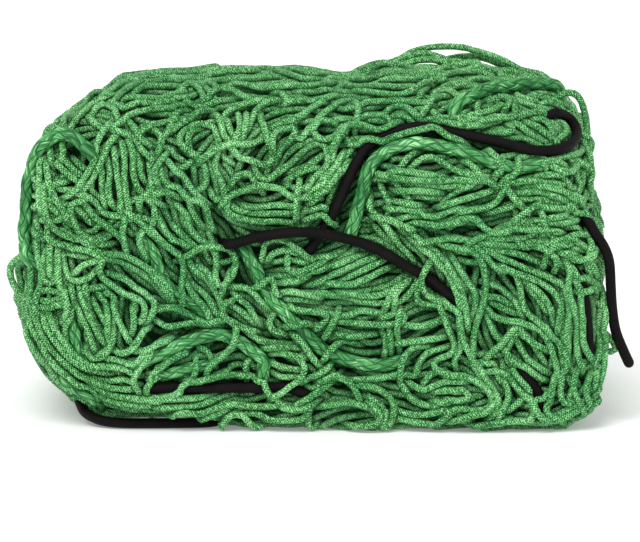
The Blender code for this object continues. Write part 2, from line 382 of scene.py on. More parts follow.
# Twines that lie on top of the others: a line for each, as x,z in millimetres. A + goes on to the next line
TOP_TWINES = """
# top edge
-110,161 -104,165 -97,169 -90,172 -84,175 -78,175 -70,175 -60,175 -52,176 -44,178 -36,178 -26,178 +
  -18,178 -10,177 -2,175 6,175 16,174 26,174
-104,161 -98,166 -92,170 -86,172 -76,173 -66,172 -56,173 -46,175 -36,176 -26,176
-97,160 -92,165 -86,169 -80,170 -72,171 -62,171 -54,171 -46,171 -38,171 -28,172 -18,173
-88,165 -82,168 -74,168 -66,168 -60,167
-90,162 -80,162 -70,163 -62,166
-64,166 -60,167 -56,165 -54,161
-62,169 -55,168 -50,165 -47,161
-50,163 -46,166 -40,166 -35,163 -30,161
-40,170 -33,169 -26,167 -20,167 -12,168 -4,168 4,169 10,170
-20,177 -14,175 -6,172 2,171 10,169
-20,166 -16,164 -13,161
-10,166 0,166 8,166
-12,160 -4,161 4,162 10,163
5,173 15,173 25,172 33,174 40,176
10,168 18,168 28,168 38,168 48,168 52,165
20,166 28,165 38,164 46,165 54,168 58,171
30,171 40,172 50,171 60,171
50,162 53,166 57,169 62,170
55,161 59,165 64,166 70,163
25,176 28,178 33,180 38,180
60,178 70,179 80,178 90,175 100,172 110,169
62,174 72,176 82,175 92,172
75,172 84,172 93,170 102,169
# upper left, outer part
-121,150 -118,155 -113,160 -107,163 -100,166
-117,148 -113,153 -108,158 -102,161 -96,165
-108,152 -105,149 -101,147 -96,148 -92,151 -88,154 -82,156 -75,157 -68,158
-107,155 -104,158 -100,159 -97,157 -95,153
-97,160 -93,157 -89,158 -84,160 -78,159 -72,160 -66,162
-99,148 -103,143 -105,137 -106,131 -110,124 -114,118 -118,115 -123,112 -127,114 -128,118 -124,120
-96,143 -99,139 -101,133 -104,127 -108,121 -112,117
-112,115 -106,112 -102,107 -97,105 -91,105
-111,112 -108,108 -105,104 -101,101 -97,98 -93,94 -91,91
-112,112 -116,111 -117,106 -115,101 -112,97 -108,94 -105,93 -101,94 -98,96
-118,105 -123,103 -127,101 -128,97 -127,93 -122,91 -116,90 -110,88 -104,87
-121,97 -118,95 -113,93 -108,91 -105,88
-130,103 -126,104 -122,106 -118,109
-131,110 -127,108 -123,109
-122,129 -118,125 -113,121
-118,130 -115,127 -111,124
-114,131 -112,129 -109,127
-129,127 -126,124 -127,120
-127,119 -122,118 -117,117
-131,132 -130,124 -131,116 -130,108
-99,131 -98,125 -99,118 -98,112 -95,108
-96,136 -95,128 -94,120 -93,112 -93,108
-92,139 -91,131 -91,122 -90,114 -89,107
-102,125 -102,118 -101,112
-89,140 -87,133 -87,126 -85,119 -82,115 -79,112
-95,146 -90,144 -86,142 -83,137 -79,133
-85,136 -84,130 -83,124 -80,120
-78,134 -79,128 -78,123 -79,119
-72,134 -76,129 -77,124 -75,119
-74,127 -73,122 -70,120 -66,118
-79,117 -84,113 -84,107
-78,115 -74,117 -69,116 -66,114
-89,106 -85,103 -81,99 -78,96 -74,92 -70,89 -66,87
-77,108 -77,103 -79,100
-75,104 -73,100 -71,96 -68,94
-91,103 -92,97 -91,91 -90,85
-87,100 -84,97 -80,98
-82,98 -84,94 -83,89 -81,85
-90,152 -87,147 -85,142 -81,140
-83,146 -78,149 -72,151 -66,155
-74,134 -74,139 -73,143 -69,147 -66,150
-76,145 -74,141 -75,136
-128,139 -126,134 -127,129
-121,139 -120,134 -122,130
-116,138 -117,133
-110,130 -112,126
# upper left, inner part
-56,133 -62,137 -65,141 -64,145 -60,148 -54,149 -49,148 -47,144 -46,139 -47,134 -48,129 -46,124 -44,120 +
  -43,116 -44,113 -48,113 -50,116
-60,138 -61,142 -59,146 -55,148
-61,136 -57,133 -54,131 -52,126 -52,121 -54,118 -57,117
-54,132 -50,134 -47,136 -42,138 -37,139 -32,139 -27,141 -25,143
-38,140 -35,144 -32,148 -30,152 -28,156 -25,159 -18,161
-39,137 -36,133 -32,132 -27,130 -23,130 -20,133 -21,138 -23,142 -24,147 -26,152 -26,155
-29,130 -28,126 -26,123 -23,122 -20,124 -16,127 -12,130 -8,134 -4,138 0,140 4,139 6,135 6,130 3,126 +
  -1,123 -4,119 -8,119
-41,118 -39,122 -35,125 -31,125 -29,122 -27,119
-43,112 -42,114 -38,116 -32,118 -27,120 -22,119 -17,118 -13,115 -9,113 -4,113 0,113
-42,113 -42,108 -39,105 -33,103 -26,102 -18,102 -12,101
-40,110 -35,107 -28,106 -18,106 -10,106
-36,110 -28,109 -18,110 -10,109
-8,118 -9,112 -9,106 -9,101
0,113 4,117 8,121 12,127
-3,116 2,119 6,123 10,129 13,134
6,137 8,142 12,147
-18,134 -15,139 -12,142 -10,145 -12,147 -17,146 -20,142 -20,136
-10,146 -7,142 -5,143 -2,146 0,149 2,152 6,156 12,160
-12,149 -8,152 -4,155 0,158 5,161
-20,148 -15,150 -10,151 -5,154
0,148 0,144 3,141 8,142 12,144
0,148 3,151 8,150 12,149
-45,148 -44,152 -41,156 -36,158 -30,159 -26,160
-50,155 -46,152 -45,147 -43,142 -40,141
-42,151 -40,146 -38,143
-37,155 -36,150 -36,146 -38,142
-33,154 -33,150 -34,146
-70,131 -67,127 -63,124 -60,120 -57,116 -54,113
-66,127 -62,129 -60,131
-70,119 -66,119 -63,116 -60,113 -56,113 -52,110 -51,105 -50,101
-66,110 -62,106 -60,102
-60,112 -59,108 -57,104 -55,101
-47,105 -47,102
-62,160 -56,157 -50,158 -45,160 -40,162
-70,150 -64,151 -58,152 -55,155
-68,147 -64,149 -60,151 -56,154 -51,156
-8,128 -2,130 2,133
-10,124 -5,127 0,128
-1,108 4,110 8,106
-3,103 3,105 7,102
# upper right, inner part
15,143 17,139 23,140 35,142 43,145 52,147 58,147 64,144 70,141 76,137 82,134 88,130
52,153 54,150 58,149 65,148 72,148 79,149 86,151 92,153
9,139 12,144 16,148 22,149 28,147 33,146 37,148 40,151
8,130 9,136 11,141 14,145
10,152 16,152 21,152 27,154 33,154 36,151
34,156 39,159 44,157 48,154 51,152
37,154 42,154 46,152
10,159 15,157 20,158 26,160 35,160 45,160 55,159
20,151 21,155 20,159
50,153 54,157 58,161 63,164
57,156 61,153 66,154 70,151 73,151 79,153 86,154
66,158 70,155 72,152
49,137 45,134 42,130 39,126 38,122 41,118 44,114 47,110 50,107 54,105 60,105 64,107 70,108 78,108 85,110
45,127 48,130 52,133 57,133 62,130 67,127 73,125 80,124
40,126 46,126 53,125 60,124
30,125 36,124 40,123 50,122 60,122 70,122 80,122
41,120 50,120 60,119 70,120 78,121
42,117 50,117 58,116
45,114 53,114 60,113
61,111 66,115 70,118 75,120
62,110 68,112 75,114 82,116
32,118 34,114 36,110 35,106
25,117 26,110 28,106 31,103 34,99 37,96
31,104 36,103 40,101 45,99
38,112 44,111 48,110
38,108 44,108 49,107
40,103 46,105 50,104
45,100 52,101 58,100 64,101 69,102
67,101 71,104 76,105 79,102 82,98
55,103 60,102 65,103 70,106
72,132 76,128 80,123 84,121
2,121 7,126 13,132 18,138
1,115 6,118 11,124 16,130
# upper right, outer part
92,158 95,161 96,157 96,153 93,152 87,152 80,150 73,149
94,152 97,150 100,148 104,145 108,143
97,153 101,154 106,155 110,155
73,153 79,154 85,156 88,158 92,160
93,150 95,147 92,145 87,146 82,147
103,150 107,148 110,145 113,144 116,142 119,141
106,153 111,151 114,147
117,153 120,150 121,146 118,143
131,152 133,147 133,141 132,135 133,127 134,120 133,112 130,107 126,103 120,101 +
  112,101
112,160 118,158 124,156 128,152 129,146 129,140 127,136 122,134 116,133 110,132
128,158 131,152 131,145 131,138 130,132 128,127 128,120 127,114 124,109 119,107
126,131 130,125 131,118 130,111 126,106 120,103 113,103 105,102
124,130 125,125 126,119 125,113 121,109
91,122 94,125 99,127 105,129 110,131 116,131 120,128 118,125 113,125 108,124 102,123 96,122
112,130 116,127 119,126 123,128
92,120 90,116 87,112 82,109 76,108 70,107
95,121 103,122 110,121 117,120
97,118 105,119 112,119 118,117 122,115
99,116 106,117 113,115 119,113
98,113 105,113 112,112 119,111
96,110 90,108 83,106
92,118 95,114 99,110 102,106
100,108 106,110 113,109 120,109
91,97 94,101 97,104 101,107 104,109
94,100 100,103 108,103 115,104 121,106
80,100 84,97 90,97 95,99 103,98 110,98 116,97
70,103 75,104 79,101 83,97
84,94 92,94 100,94 106,97
100,91 106,92 112,91 117,89
80,91 88,91 96,90
116,93 122,94 127,91 132,88 135,86
# lower left, outer part
-134,92 -133,85 -132,78 -132,72 -133,66 -134,61 -133,56
-137,90 -137,84 -136,76 -136,68 -135,60 -134,54
-129,88 -130,82 -130,76 -128,72 -125,73 -125,79 -126,86
-127,88 -127,80 -127,76
-123,90 -123,82 -123,74 -122,68 -121,62
-132,68 -128,69 -123,67
-133,60 -128,60 -123,62 -120,61
-132,64 -127,63 -122,65
-121,86 -120,80 -118,75 -114,73 -110,74 -106,77 -104,82 -104,88
-114,78 -111,81 -108,82 -105,83
-119,90 -113,89 -108,88 -104,86
-117,86 -112,85 -108,84
-102,82 -103,78 -101,74 -97,71 -93,68 -88,65 -84,63 -82,60 -82,56 -84,53 -87,55 -86,60 -87,64
-100,84 -94,83 -88,80 -83,77 -78,73 -73,68 -70,64
-99,86 -92,86 -86,83 -80,79 -74,74 -69,69
-97,76 -91,74 -85,70 -80,67 -77,62 -78,57 -80,54
-109,69 -105,70 -101,70 -99,67
-100,67 -97,66 -96,60 -97,52 -97,45 -99,39 -103,36
-103,66 -100,62 -99,55 -99,48 -98,42
-96,60 -94,54 -91,48 -89,44 -86,41
-116,69 -115,63 -112,56 -109,50 -107,44 -106,40
-113,70 -111,63 -108,56 -105,50 -102,44
-110,70 -109,62 -107,55 -103,48 -100,43
-106,62 -103,57 -101,52
-120,66 -119,60 -121,54
-131,57 -129,50 -125,44 -120,38 -114,33 -108,30 -101,28
-128,57 -125,50 -121,44 -117,38 -111,33 -104,31 -97,31 -90,30
-134,55 -131,47 -127,40 -121,34 -114,28 -106,24 -98,21 -90,20
-137,52 -134,45 -130,38 -124,31 -117,25 -109,19 -100,15 -90,13 -80,12
-139,49 -136,42 -131,34 -126,28 -119,21 -111,15 -102,11 -92,9 -80,8
-134,36 -129,29 -122,22
-110,38 -106,35 -102,38 -99,41
-98,40 -93,38 -88,40 -85,44 -82,49 -80,50
-87,56 -87,50 -89,45
-99,36 -94,35 -89,33 -84,34 -80,38 -76,42 -70,46
-109,32 -103,32 -96,33
-86,39 -80,40 -75,43 -70,44
-80,36 -84,31 -87,25 -86,21
-79,21 -78,27 -74,31 -69,35
-112,27 -104,21 -96,17 -86,16 -76,15
-108,26 -100,24 -92,25 -87,23
# lower left, inner part
-78,97 -73,92 -68,88 -64,84 -63,78 -64,70 -63,63 -65,60
-64,84 -60,86 -56,89 -50,90 -44,89 -40,87 -38,83 -39,78 -41,74 -44,70 -45,66
-73,98 -69,94 -64,92 -61,90
-66,98 -61,93 -58,90
-60,99 -56,94 -52,91
-48,88 -47,82 -48,76 -46,71 -43,72 -41,76
-46,82 -42,82 -39,84
-60,82 -57,78 -53,75 -50,71 -47,66 -45,62
-61,76 -58,71 -54,68 -51,64 -48,58
-62,73 -59,67 -55,62 -52,58
-57,80 -52,78 -49,72
-78,76 -73,70 -69,65
-78,58 -73,60 -67,60 -61,57 -55,54 -48,54 -41,54 -36,51 -31,49
-76,54 -71,51 -64,52 -58,53
-41,63 -44,62 -45,58 -43,55 -40,53 -38,50 -39,44 -41,40 -45,36 -49,33 -52,29 -51,24
-43,63 -38,60 -35,58 -32,55 -30,53
-39,67 -36,64 -32,61 -30,57 -28,54
-38,70 -34,70 -30,68 -26,63 -23,60
-20,57 -22,53 -20,49 -17,48
-28,70 -24,73 -20,74 -19,70 -19,66
-25,86 -24,91 -19,93 -13,92 -9,89 -4,86 -1,83
-22,84 -19,87 -13,88 -8,86 -4,83
-21,82 -15,83 -9,83 -4,82
-13,83 -13,79 -8,78 -3,80 2,82
-20,75 -14,75 -8,75 -2,78 2,81
-18,72 -12,73 -6,74
-18,67 -12,68 -6,67 0,66
-15,64 -8,64 0,63
-14,60 -7,59 0,58
-9,52 -3,52 4,51
-10,50 -6,44 -2,37 3,31 9,27 15,25 22,25 32,26 42,28 48,27 50,33 54,38 60,40
-78,24 -75,30 -70,35 -65,38 -60,42
-84,16 -77,16 -70,18 -62,22 -54,25 -45,27 -36,27 -30,27 -26,24 -22,20 -19,16 -16,13 -10,12 -5,14 0,18
-33,28 -33,33 -30,36
-19,17 -15,20 -10,23 -6,27 -5,32 -9,36
-25,40 -18,41 -10,40
-23,37 -16,38 -8,36
-22,33 -15,31 -9,30
-21,28 -16,26 -10,26
-55,41 -51,38 -49,34
-32,48 -26,44 -20,43 -12,42
-78,12 -70,12 -60,12 -52,14 -44,17 -38,19
-78,16 -68,16 -58,16 -48,18 -40,20
-78,8 -66,9 -56,9 -48,11 -40,13 -30,12 -20,12
-53,5 -47,8 -41,11
-45,1 -43,5 -39,8 -34,7 -32,4 -28,1
-35,8 -28,8 -21,5 -13,5 -6,6 -3,10
-3,8 -3,3 -1,0
-13,11 -6,11 0,14
# lower right, inner part
0,84 6,85 14,88
-2,78 5,80 12,84 19,88
-6,76 2,79 10,82 18,85 26,86
0,72 7,75 15,79 23,83 30,85
3,70 12,73 22,78 30,82
8,72 16,72 24,74 32,78 38,80
10,70 20,68 30,69 38,72 44,76
-4,67 4,67 12,66 20,64 30,63 36,61
12,67 22,66 30,66 36,68
34,61 36,66 39,70 43,73
38,62 38,67 42,72 46,75
40,63 44,66 47,69
-6,58 2,58 6,55 3,52
8,57 14,56 22,58 30,57
8,54 16,53 26,52 36,52 42,53 43,56 40,58 34,56
6,48 8,52 10,56
4,34 6,38 9,41 14,44 18,43
32,50 34,44 34,38
36,50 36,44 37,38
40,56 39,50 40,44 41,38
10,47 18,46 26,47
42,43 50,44 58,45
42,52 50,51 57,53
41,27 41,33 44,38 48,41 52,41
5,25 10,27 15,25 19,21 21,16
22,22 29,21 35,17 38,12 37,6 34,2
34,100 38,94 42,89 46,84 48,79 50,73 49,68 50,63 55,62 61,61 66,60 70,57
55,82 52,77 51,72 54,67 58,64 62,62
40,100 45,94 50,90 56,86 61,80 65,74 68,67 70,60
44,99 50,93 57,88 63,82 68,76 72,70
31,97 35,93 40,89
60,61 62,56 64,50 66,44 67,40 64,37 59,35 57,32 60,29 66,27 72,27
70,59 69,53 70,47 70,40 67,34 68,30
51,92 58,93 65,94 72,93
60,91 66,89 72,87
52,22 55,27 60,29
42,22 46,16 52,13 58,12
58,19 64,20 70,19
58,14 66,14 72,15
40,10 46,8 54,8 62,10 70,12
42,5 50,4 58,3 62,6 67,9 72,7
46,23 52,20 57,22 63,24 69,24
-8,13 -3,17 3,20 8,24
4,12 10,13 17,14 24,12 29,9 31,5
18,2 26,3 31,6 30,10 27,13
28,15 32,12 34,8 33,3
-8,22 -3,26 2,29 6,32
-6,19 0,22 5,26
# lower right, outer part
64,90 70,89 75,88 79,84 81,78 82,71 81,64 79,58 77,51 76,44 76,38
64,80 67,74 70,67 72,60 73,53
66,84 71,77 75,71 77,64 76,58 74,53
64,62 69,58 70,50 71,44 74,38 77,31 80,25
76,90 81,86 85,81 90,78 95,78 98,72 99,65 101,59 106,54 111,50 114,45 118,40 119,33 121,27 124,22 122,15
82,89 88,85 95,82 102,79 108,77 114,74 119,71 121,66 122,58 121,50 121,43
86,88 94,87 101,85 107,82
90,80 97,77 104,74 110,71 115,67 118,61 117,54 117,47
98,75 104,71 109,66 113,60 114,54
102,70 107,65 110,60
82,72 88,70 93,66 97,62 99,57
82,67 88,65 94,61
81,60 86,56 92,54 99,53 106,50 110,47 113,41 115,34 116,27 114,21 110,17 105,14
84,63 90,60 96,57
82,58 85,50 88,45 91,44
96,50 92,46 89,42 85,39 82,35
97,49 94,44 92,39 93,34 97,29 101,24 104,20
95,47 98,42 101,37 106,33 110,30
98,50 103,45 107,39 110,34
100,47 105,43 110,40
91,40 94,35 99,30 105,27 110,25
80,28 85,29 90,28 94,25 98,20 102,16 105,14 105,9 103,5 96,5 88,4 80,3 74,2
105,12 109,6 116,5 123,8 129,11 135,14
64,27 70,27 76,25 82,21 85,16 83,11 77,10 70,11 64,9
79,30 82,25 86,20 88,14 86,8 82,4
64,4 70,6 76,8 82,9 86,13
90,27 92,22 93,16 90,10 88,5
64,20 70,20 74,17 70,15 64,15
93,10 98,14 101,17
124,78 126,74 129,74 134,72 137,68 139,62 138,54 137,47
118,87 124,86 129,83 131,78 134,74
127,68 131,68 135,70 137,66
120,84 122,78 121,72 122,64 124,58 126,52 126,44 126,37 128,31
125,72 127,66 128,58 128,50 129,42 132,36 134,33
123,50 122,42 122,34 124,28 127,22
119,66 119,57 119,48 120,40 121,33 119,26 118,20 119,14 124,14
134,33 136,38 137,44
139,60 140,52 140,44 138,36 138,28 136,20 131,14 124,10 117,6
112,14 113,20 115,25
110,12 112,8 116,6
110,82 112,87 116,90 121,91
102,91 108,90 113,87 116,83 115,78
"""

# Twines that stand clear of the top and the ends, as (x, z) in millimetres with the y they lie at
CLEAR_TWINES = [
    (28, [
        (23, 157), (27, 161), (32, 164), (37, 165), (42, 167), (47, 170), (52, 171.6),
        (57, 172.6), (64, 173),
        (72, 172.6), (82, 170.5), (92, 166.5), (102, 161), (113, 155), (119, 149),
    ]),
    (24, [
        (26, 154), (32, 160), (39, 165), (46, 168.5), (53, 170), (59, 169), (66, 166.5),
        (76, 165), (88, 162),
        (100, 158), (108, 152),
    ]),
    (21, [
        (30, 156), (37, 161), (44, 165), (50, 167), (57, 167.5), (65, 166), (76, 163.5),
        (90, 160), (103, 153),
    ]),
    (33, [(60, 164), (70, 167), (80, 167), (90, 164), (100, 159), (109, 154), (116, 148)]),
    (30, [(12, 154), (20, 157), (27, 160.5), (33, 162.5), (40, 161)]),
    (18, [(32, 158), (42, 162), (52, 164), (62, 163.5), (72, 162), (84, 160), (96, 155)]),
    (-26, [
        (112, 152), (116, 154), (119.5, 157), (123, 158), (126.5, 157), (129, 153.5),
        (130.5, 149), (131.5, 144),
        (132, 138), (131, 131), (128, 126),
    ]),
    (-55, [(-136, 84), (-142, 82), (-146, 79), (-147, 74), (-145, 68), (-142, 64), (-136, 58)]),
    (-56, [(132, 54), (138, 47), (142, 43), (145, 40), (145, 37), (141, 36), (136, 39), (130, 44)]),
    (-60, [(108, 16), (120, 14), (131, 16), (136, 14), (133, 11), (122, 8), (110, 6)]),
]

# The way the twines run over the front, as (x, z) in millimetres with an angle in degrees
FLOW = [
    (-115, 150, 45), (-98, 153, 30), (-79, 156, 5), (-31, 156, 2), (-84, 151, 8), (-55, 152, 0),
    (-122, 132, -50), (-110, 132, 62), (-98, 137, 66), (-93, 120, 88), (-79, 122, -62), (-70, 137, -30),
    (-55, 137, 60), (-31, 147, 50), (-48, 125, -60), (-7, 142, 50), (-22, 127, 52), (-2, 117, 45),
    (-25, 111, 0), (-70, 108, -60), (-84, 103, -60), (-103, 108, -35), (-125, 110, -15),
    (-138, 112, 90), (41, 160, 0), (65, 160, 3), (98, 158, -10), (119, 158, -30), (132, 149, -80),
    (134, 127, -90), (130, 110, -125), (115, 105, -178), (7, 144, 60), (14, 154, 20), (34, 155, 8),
    (58, 156, 5), (79, 155, 0), (98, 152, -5), (114, 152, -20), (2, 117, 63), (17, 136, 52),
    (41, 122, 0), (70, 121, 0), (96, 117, -5), (118, 120, -20), (41, 110, 10), (74, 109, 6),
    (103, 109, 2), (41, 100, 4), (79, 99, 0), (113, 99, -8), (7, 82, 20), (24, 79, 24), (12, 69, 10),
    (7, 61, 0), (26, 64, -8), (7, 47, 0), (41, 93, -30), (56, 86, -36), (70, 93, -5), (94, 94, -8),
    (113, 91, -20), (75, 79, -60), (80, 68, -82), (91, 82, -25), (106, 77, -40), (119, 76, -62),
    (130, 78, -75), (79, 47, -85), (74, 24, -50), (91, 63, -22), (101, 56, -35), (110, 47, -70),
    (114, 34, -92), (109, 19, -120), (123, 59, -80), (133, 44, -88), (127, 22, -105), (118, 9, -150),
    (96, 39, -50), (89, 24, -60), (36, 49, 0), (50, 39, -5), (22, 22, 0), (50, 14, -8), (31, 9, 0),
    (65, 5, 2), (91, 3, 5), (110, 6, 12), (130, 14, 30), (79, 15, 28), (-140, 88, -88), (-138, 71, -84),
    (-135, 54, -76), (-129, 38, -62), (-121, 27, -50), (-111, 17, -34), (-96, 10, -16), (-77, 8, -4),
    (-53, 7, 0), (-29, 9, 0), (-7, 9, 0), (-121, 64, -66), (-117, 49, -62), (-112, 38, -48),
    (-101, 26, -28), (-82, 19, -5), (-53, 16, 0), (-25, 16, 4), (-102, 45, -60), (-126, 82, -60),
    (-107, 64, -70), (-97, 53, -84), (-88, 43, -62), (-93, 82, -45), (-83, 73, -45), (-72, 63, -40),
    (-64, 82, -60), (-54, 77, -56), (-49, 68, -60), (-40, 77, -70), (-14, 82, 20), (-25, 58, -32),
    (-36, 63, -40), (-62, 39, 24), (-43, 38, 15), (-30, 38, -42), (-14, 42, 0), (-5, 34, 0),
    (-10, 24, 0), (-1, 14, 15),
]


# ---------------------------------------------------------------------------------------------- the flow

FLOW_POINTS = np.array([(x, z) for x, z, _ in FLOW]) * MM
FLOW_ANGLES = np.radians([2 * angle for _, _, angle in FLOW])


def front_angle(x, z):
    """The angle at which twines run at x and z of the front, blended from the nearest points of FLOW."""
    away = (x[:, None] - FLOW_POINTS[:, 0]) ** 2 + (z[:, None] - FLOW_POINTS[:, 1]) ** 2
    weight = 1 / (away + 0.005**2) ** 2
    return 0.5 * np.arctan2(weight @ np.sin(FLOW_ANGLES), weight @ np.cos(FLOW_ANGLES))


def flow(points, heading, twist, seed):
    """The direction in which a twine goes on from each point, near the heading it has."""
    normal, _ = body_normal(points)
    x, z = points[:, 0], points[:, 2]
    front = front_angle(x, z)
    back = front_angle(-x, z)
    sway = 0.5 * ripple(points, seed + 1, 0.09)
    zero, one = np.zeros(len(points)), np.ones(len(points))
    ways = [
        (np.maximum(-normal[:, 1], 0) ** 2, np.stack([np.cos(front), zero, np.sin(front)], axis=1)),
        (np.maximum(normal[:, 1], 0) ** 2, np.stack([-np.cos(back), zero, np.sin(back)], axis=1)),
        (normal[:, 2] ** 2, np.stack([np.cos(0.4 * sway), np.sin(0.4 * sway), zero], axis=1)),
        (normal[:, 0] ** 2, np.stack([zero, np.sin(sway), np.cos(sway)], axis=1)),
    ]
    way = heading
    for _ in range(2):
        way = sum((weight * (direction * way).sum(axis=1))[:, None] * direction for weight, direction in ways)
        way = way - normal * (normal * way).sum(axis=1)[:, None]
        way = unit(way + 1e-9 * heading)
    turn = (twist * ripple(points, seed, 0.06))[:, None]
    return way * np.cos(turn) + np.cross(normal, way) * np.sin(turn)


class Taken:
    """A grid of small cells that says where a layer already holds twine."""

    CELL = 0.001
    MARGIN = 0.02

    def __init__(self):
        self.low = BODY_CENTRE - BODY_HALF - self.MARGIN
        self.size = np.ceil((2 * BODY_HALF + 2 * self.MARGIN) / self.CELL).astype(int)
        self.cells = np.zeros(self.size, bool)

    def index(self, points):
        place = ((points - self.low) / self.CELL).astype(int)
        return tuple(np.clip(place, 0, self.size - 1).T)

    def at(self, points):
        return self.cells[self.index(points)]

    def mark(self, points, radius):
        span = np.arange(-math.ceil(radius / self.CELL), math.ceil(radius / self.CELL) + 1) * self.CELL
        ball = np.stack(np.meshgrid(span, span, span), axis=-1).reshape(-1, 3)
        ball = ball[np.linalg.norm(ball, axis=1) <= radius]
        self.cells[self.index((points[:, None] + ball).reshape(-1, 3))] = True


def scattered(random, count, depth):
    """Points anywhere on the body."""
    points = BODY_CENTRE + random.uniform(-1, 1, (count, 3)) * BODY_HALF
    axis = random.choice(3, count, p=(0.28, 0.44, 0.28))
    points[np.arange(count), axis] = (BODY_CENTRE + random.choice((-1, 1), (count, 3)) * BODY_HALF)[
        np.arange(count), axis
    ]
    return on_level(on_level(points, depth), depth)


def walk(starts, depth, twist, seed, steps):
    """Follows the flow from each start, both ways, and returns one row of points for each."""
    heading = unit(np.cross(body_normal(starts)[0], (0.31, 0.42, 0.85)))
    for _ in range(3):
        heading = flow(starts, heading, twist, seed)
    halves = []
    for sign in (-1, 1):
        here, way, half = starts, sign * heading, []
        for _ in range(steps):
            way = flow(here, way, twist, seed)
            there = here + way * STEP
            normal, distance = body_normal(there)
            here = there - normal * (distance - depth)[:, None]
            half.append(here)
        halves.append(np.stack(half, axis=1))
    return np.concatenate([halves[0][:, ::-1], starts[:, None], halves[1]], axis=1)


def lay_layer(depth, spacing, twist, seed, taken, rounds=14, steps=45, shortest=9):
    """Fills a level of the body with twines that run side by side along the flow."""
    random = np.random.default_rng(seed)
    twines = []
    starts = scattered(random, 160, depth)
    for _ in range(rounds):
        starts = starts[~taken.at(starts)]
        starts = np.concatenate([random.permutation(starts)[:420], scattered(random, 60, depth)])
        beside = []
        for path in walk(starts, depth, twist, seed, steps):
            busy = taken.at(path)
            if busy[steps]:
                continue
            before = np.flatnonzero(busy[:steps])
            after = np.flatnonzero(busy[steps:])
            first = before[-1] + 1 if len(before) else 0
            last = steps + after[0] if len(after) else len(path)
            twine = path[first:last]
            if len(twine) < shortest:
                continue
            taken.mark(twine, 0.78 * spacing)
            twines.append(twine)
            normal, _ = body_normal(twine)
            side = np.cross(normal, unit(np.gradient(twine, axis=0)))
            picked = slice(3, None, 7)
            beside += [twine[picked] + side[picked] * spacing, twine[picked] - side[picked] * spacing]
        if not beside:
            break
        starts = np.concatenate(beside)
    return twines


def swayed(twine, random, most):
    """Sways a twine sideways once in every two mesh bars, as its ties pull it to one side and the other."""
    normal, _ = body_normal(twine)
    side = np.cross(normal, unit(np.gradient(twine, axis=0)))
    travelled = np.arange(len(twine)) * STEP
    size = random.uniform(0.4, 1.0) * most
    wave = size * np.sin(math.pi * travelled / MESH_BAR + random.uniform(0, 2 * math.pi))
    return twine + side * wave[:, None]


def dived(path, out, depth, points):
    """Carries both ends of a path on into the body, under its neighbours."""
    normal, _ = body_normal(path[[0, -1]])
    away = unit(np.stack([path[0] - path[2], path[-1] - path[-3]]))
    share = np.arange(1, points + 1)[:, None] / points
    runs = [
        end + way * out * share * (1.4 - 0.4 * share) + down * depth * share**1.3
        for end, way, down in zip(path[[0, -1]], away, -normal)
    ]
    for run in runs:
        run[:, 2] = np.maximum(run[:, 2], 0.5 * ROPE)
    return np.concatenate([runs[0][::-1], path, runs[1]])


def lifted(twines, most):
    """Lifts each twine over the ones laid before it wherever it crosses them."""
    spots, ways, lifts, raised = [], [], [], []
    clear = 0.9 * TWINE
    for twine in twines:
        way = unit(np.gradient(twine, axis=0))
        need = np.zeros(len(twine))
        if spots:
            laid, laid_ways, laid_lifts = np.concatenate(spots), np.concatenate(ways), np.concatenate(lifts)
            low, high = twine.min(axis=0) - clear, twine.max(axis=0) + clear
            near = np.flatnonzero(((laid > low) & (laid < high)).all(axis=1))
            if len(near):
                distance = np.linalg.norm(twine[:, None] - laid[near], axis=2)
                slant = 1 - np.abs(way @ laid_ways[near].T)
                room = np.sqrt(np.maximum(clear**2 - distance**2, 0)) * smooth_step(slant, 0.03, 0.20)
                over = np.where(room > 0, laid_lifts[near] + room, 0)
                need = np.minimum(over.max(axis=1), most)
        need[:2], need[-2:] = 0, 0  # the ends go under
        wide = np.pad(need, 2, "edge")
        spread = np.max([0.75 * wide[k : k + len(need)] for k in (0, 1, 3, 4)] + [need], axis=0)
        wide = np.pad(spread, 1, "edge")
        lift = 0.25 * wide[:-2] + 0.5 * wide[1:-1] + 0.25 * wide[2:]
        spots.append(twine)
        ways.append(way)
        lifts.append(lift)
        raised.append(twine + body_normal(twine)[0] * lift[:, None])
    return raised


def ducked(twine, cord):
    """Leads a twine under a cord that nothing crosses."""
    near = np.linalg.norm(twine[:, None] - cord, axis=2).min(axis=1)
    most = PROUD - 0.5 * (ELASTIC + TWINE) - 0.0004 + 1.2 * np.maximum(near - 0.0040, 0)
    return on_level(twine, np.minimum(body_distance(twine), most))


def wandering(count, depth, seed):
    """Lines that bend one way and the other over the top and the ends."""
    random = np.random.default_rng(seed)
    here = scattered(random, 6 * count, depth)
    normal, _ = body_normal(here)
    here = here[(np.abs(normal[:, 1]) < 0.7) & (normal[:, 2] > -0.4)][:count]
    count = len(here)
    normal, _ = body_normal(here)
    turn = random.uniform(0, 2 * math.pi, count)
    way = unit(np.cross(normal, np.stack([np.cos(turn), np.cos(2 * turn), np.sin(turn)], axis=1)))
    bend = random.choice((-1, 1), count) / random.uniform(0.009, 0.020, count)
    pace = random.uniform(0.008, 0.014, count)
    lengths = random.integers(18, 40, count)
    rows = []
    for step in range(lengths.max()):
        normal, _ = body_normal(here)
        change = bend * np.cos(step * STEP / pace + turn)
        way = unit(way + np.cross(normal, way) * (change * STEP)[:, None])
        way = unit(way - normal * (normal * way).sum(axis=1)[:, None])
        here = on_level(here + way * STEP, depth)
        rows.append(here)
    rows = np.stack(rows, axis=1)
    return [row[:length] for row, length in zip(rows, lengths)]


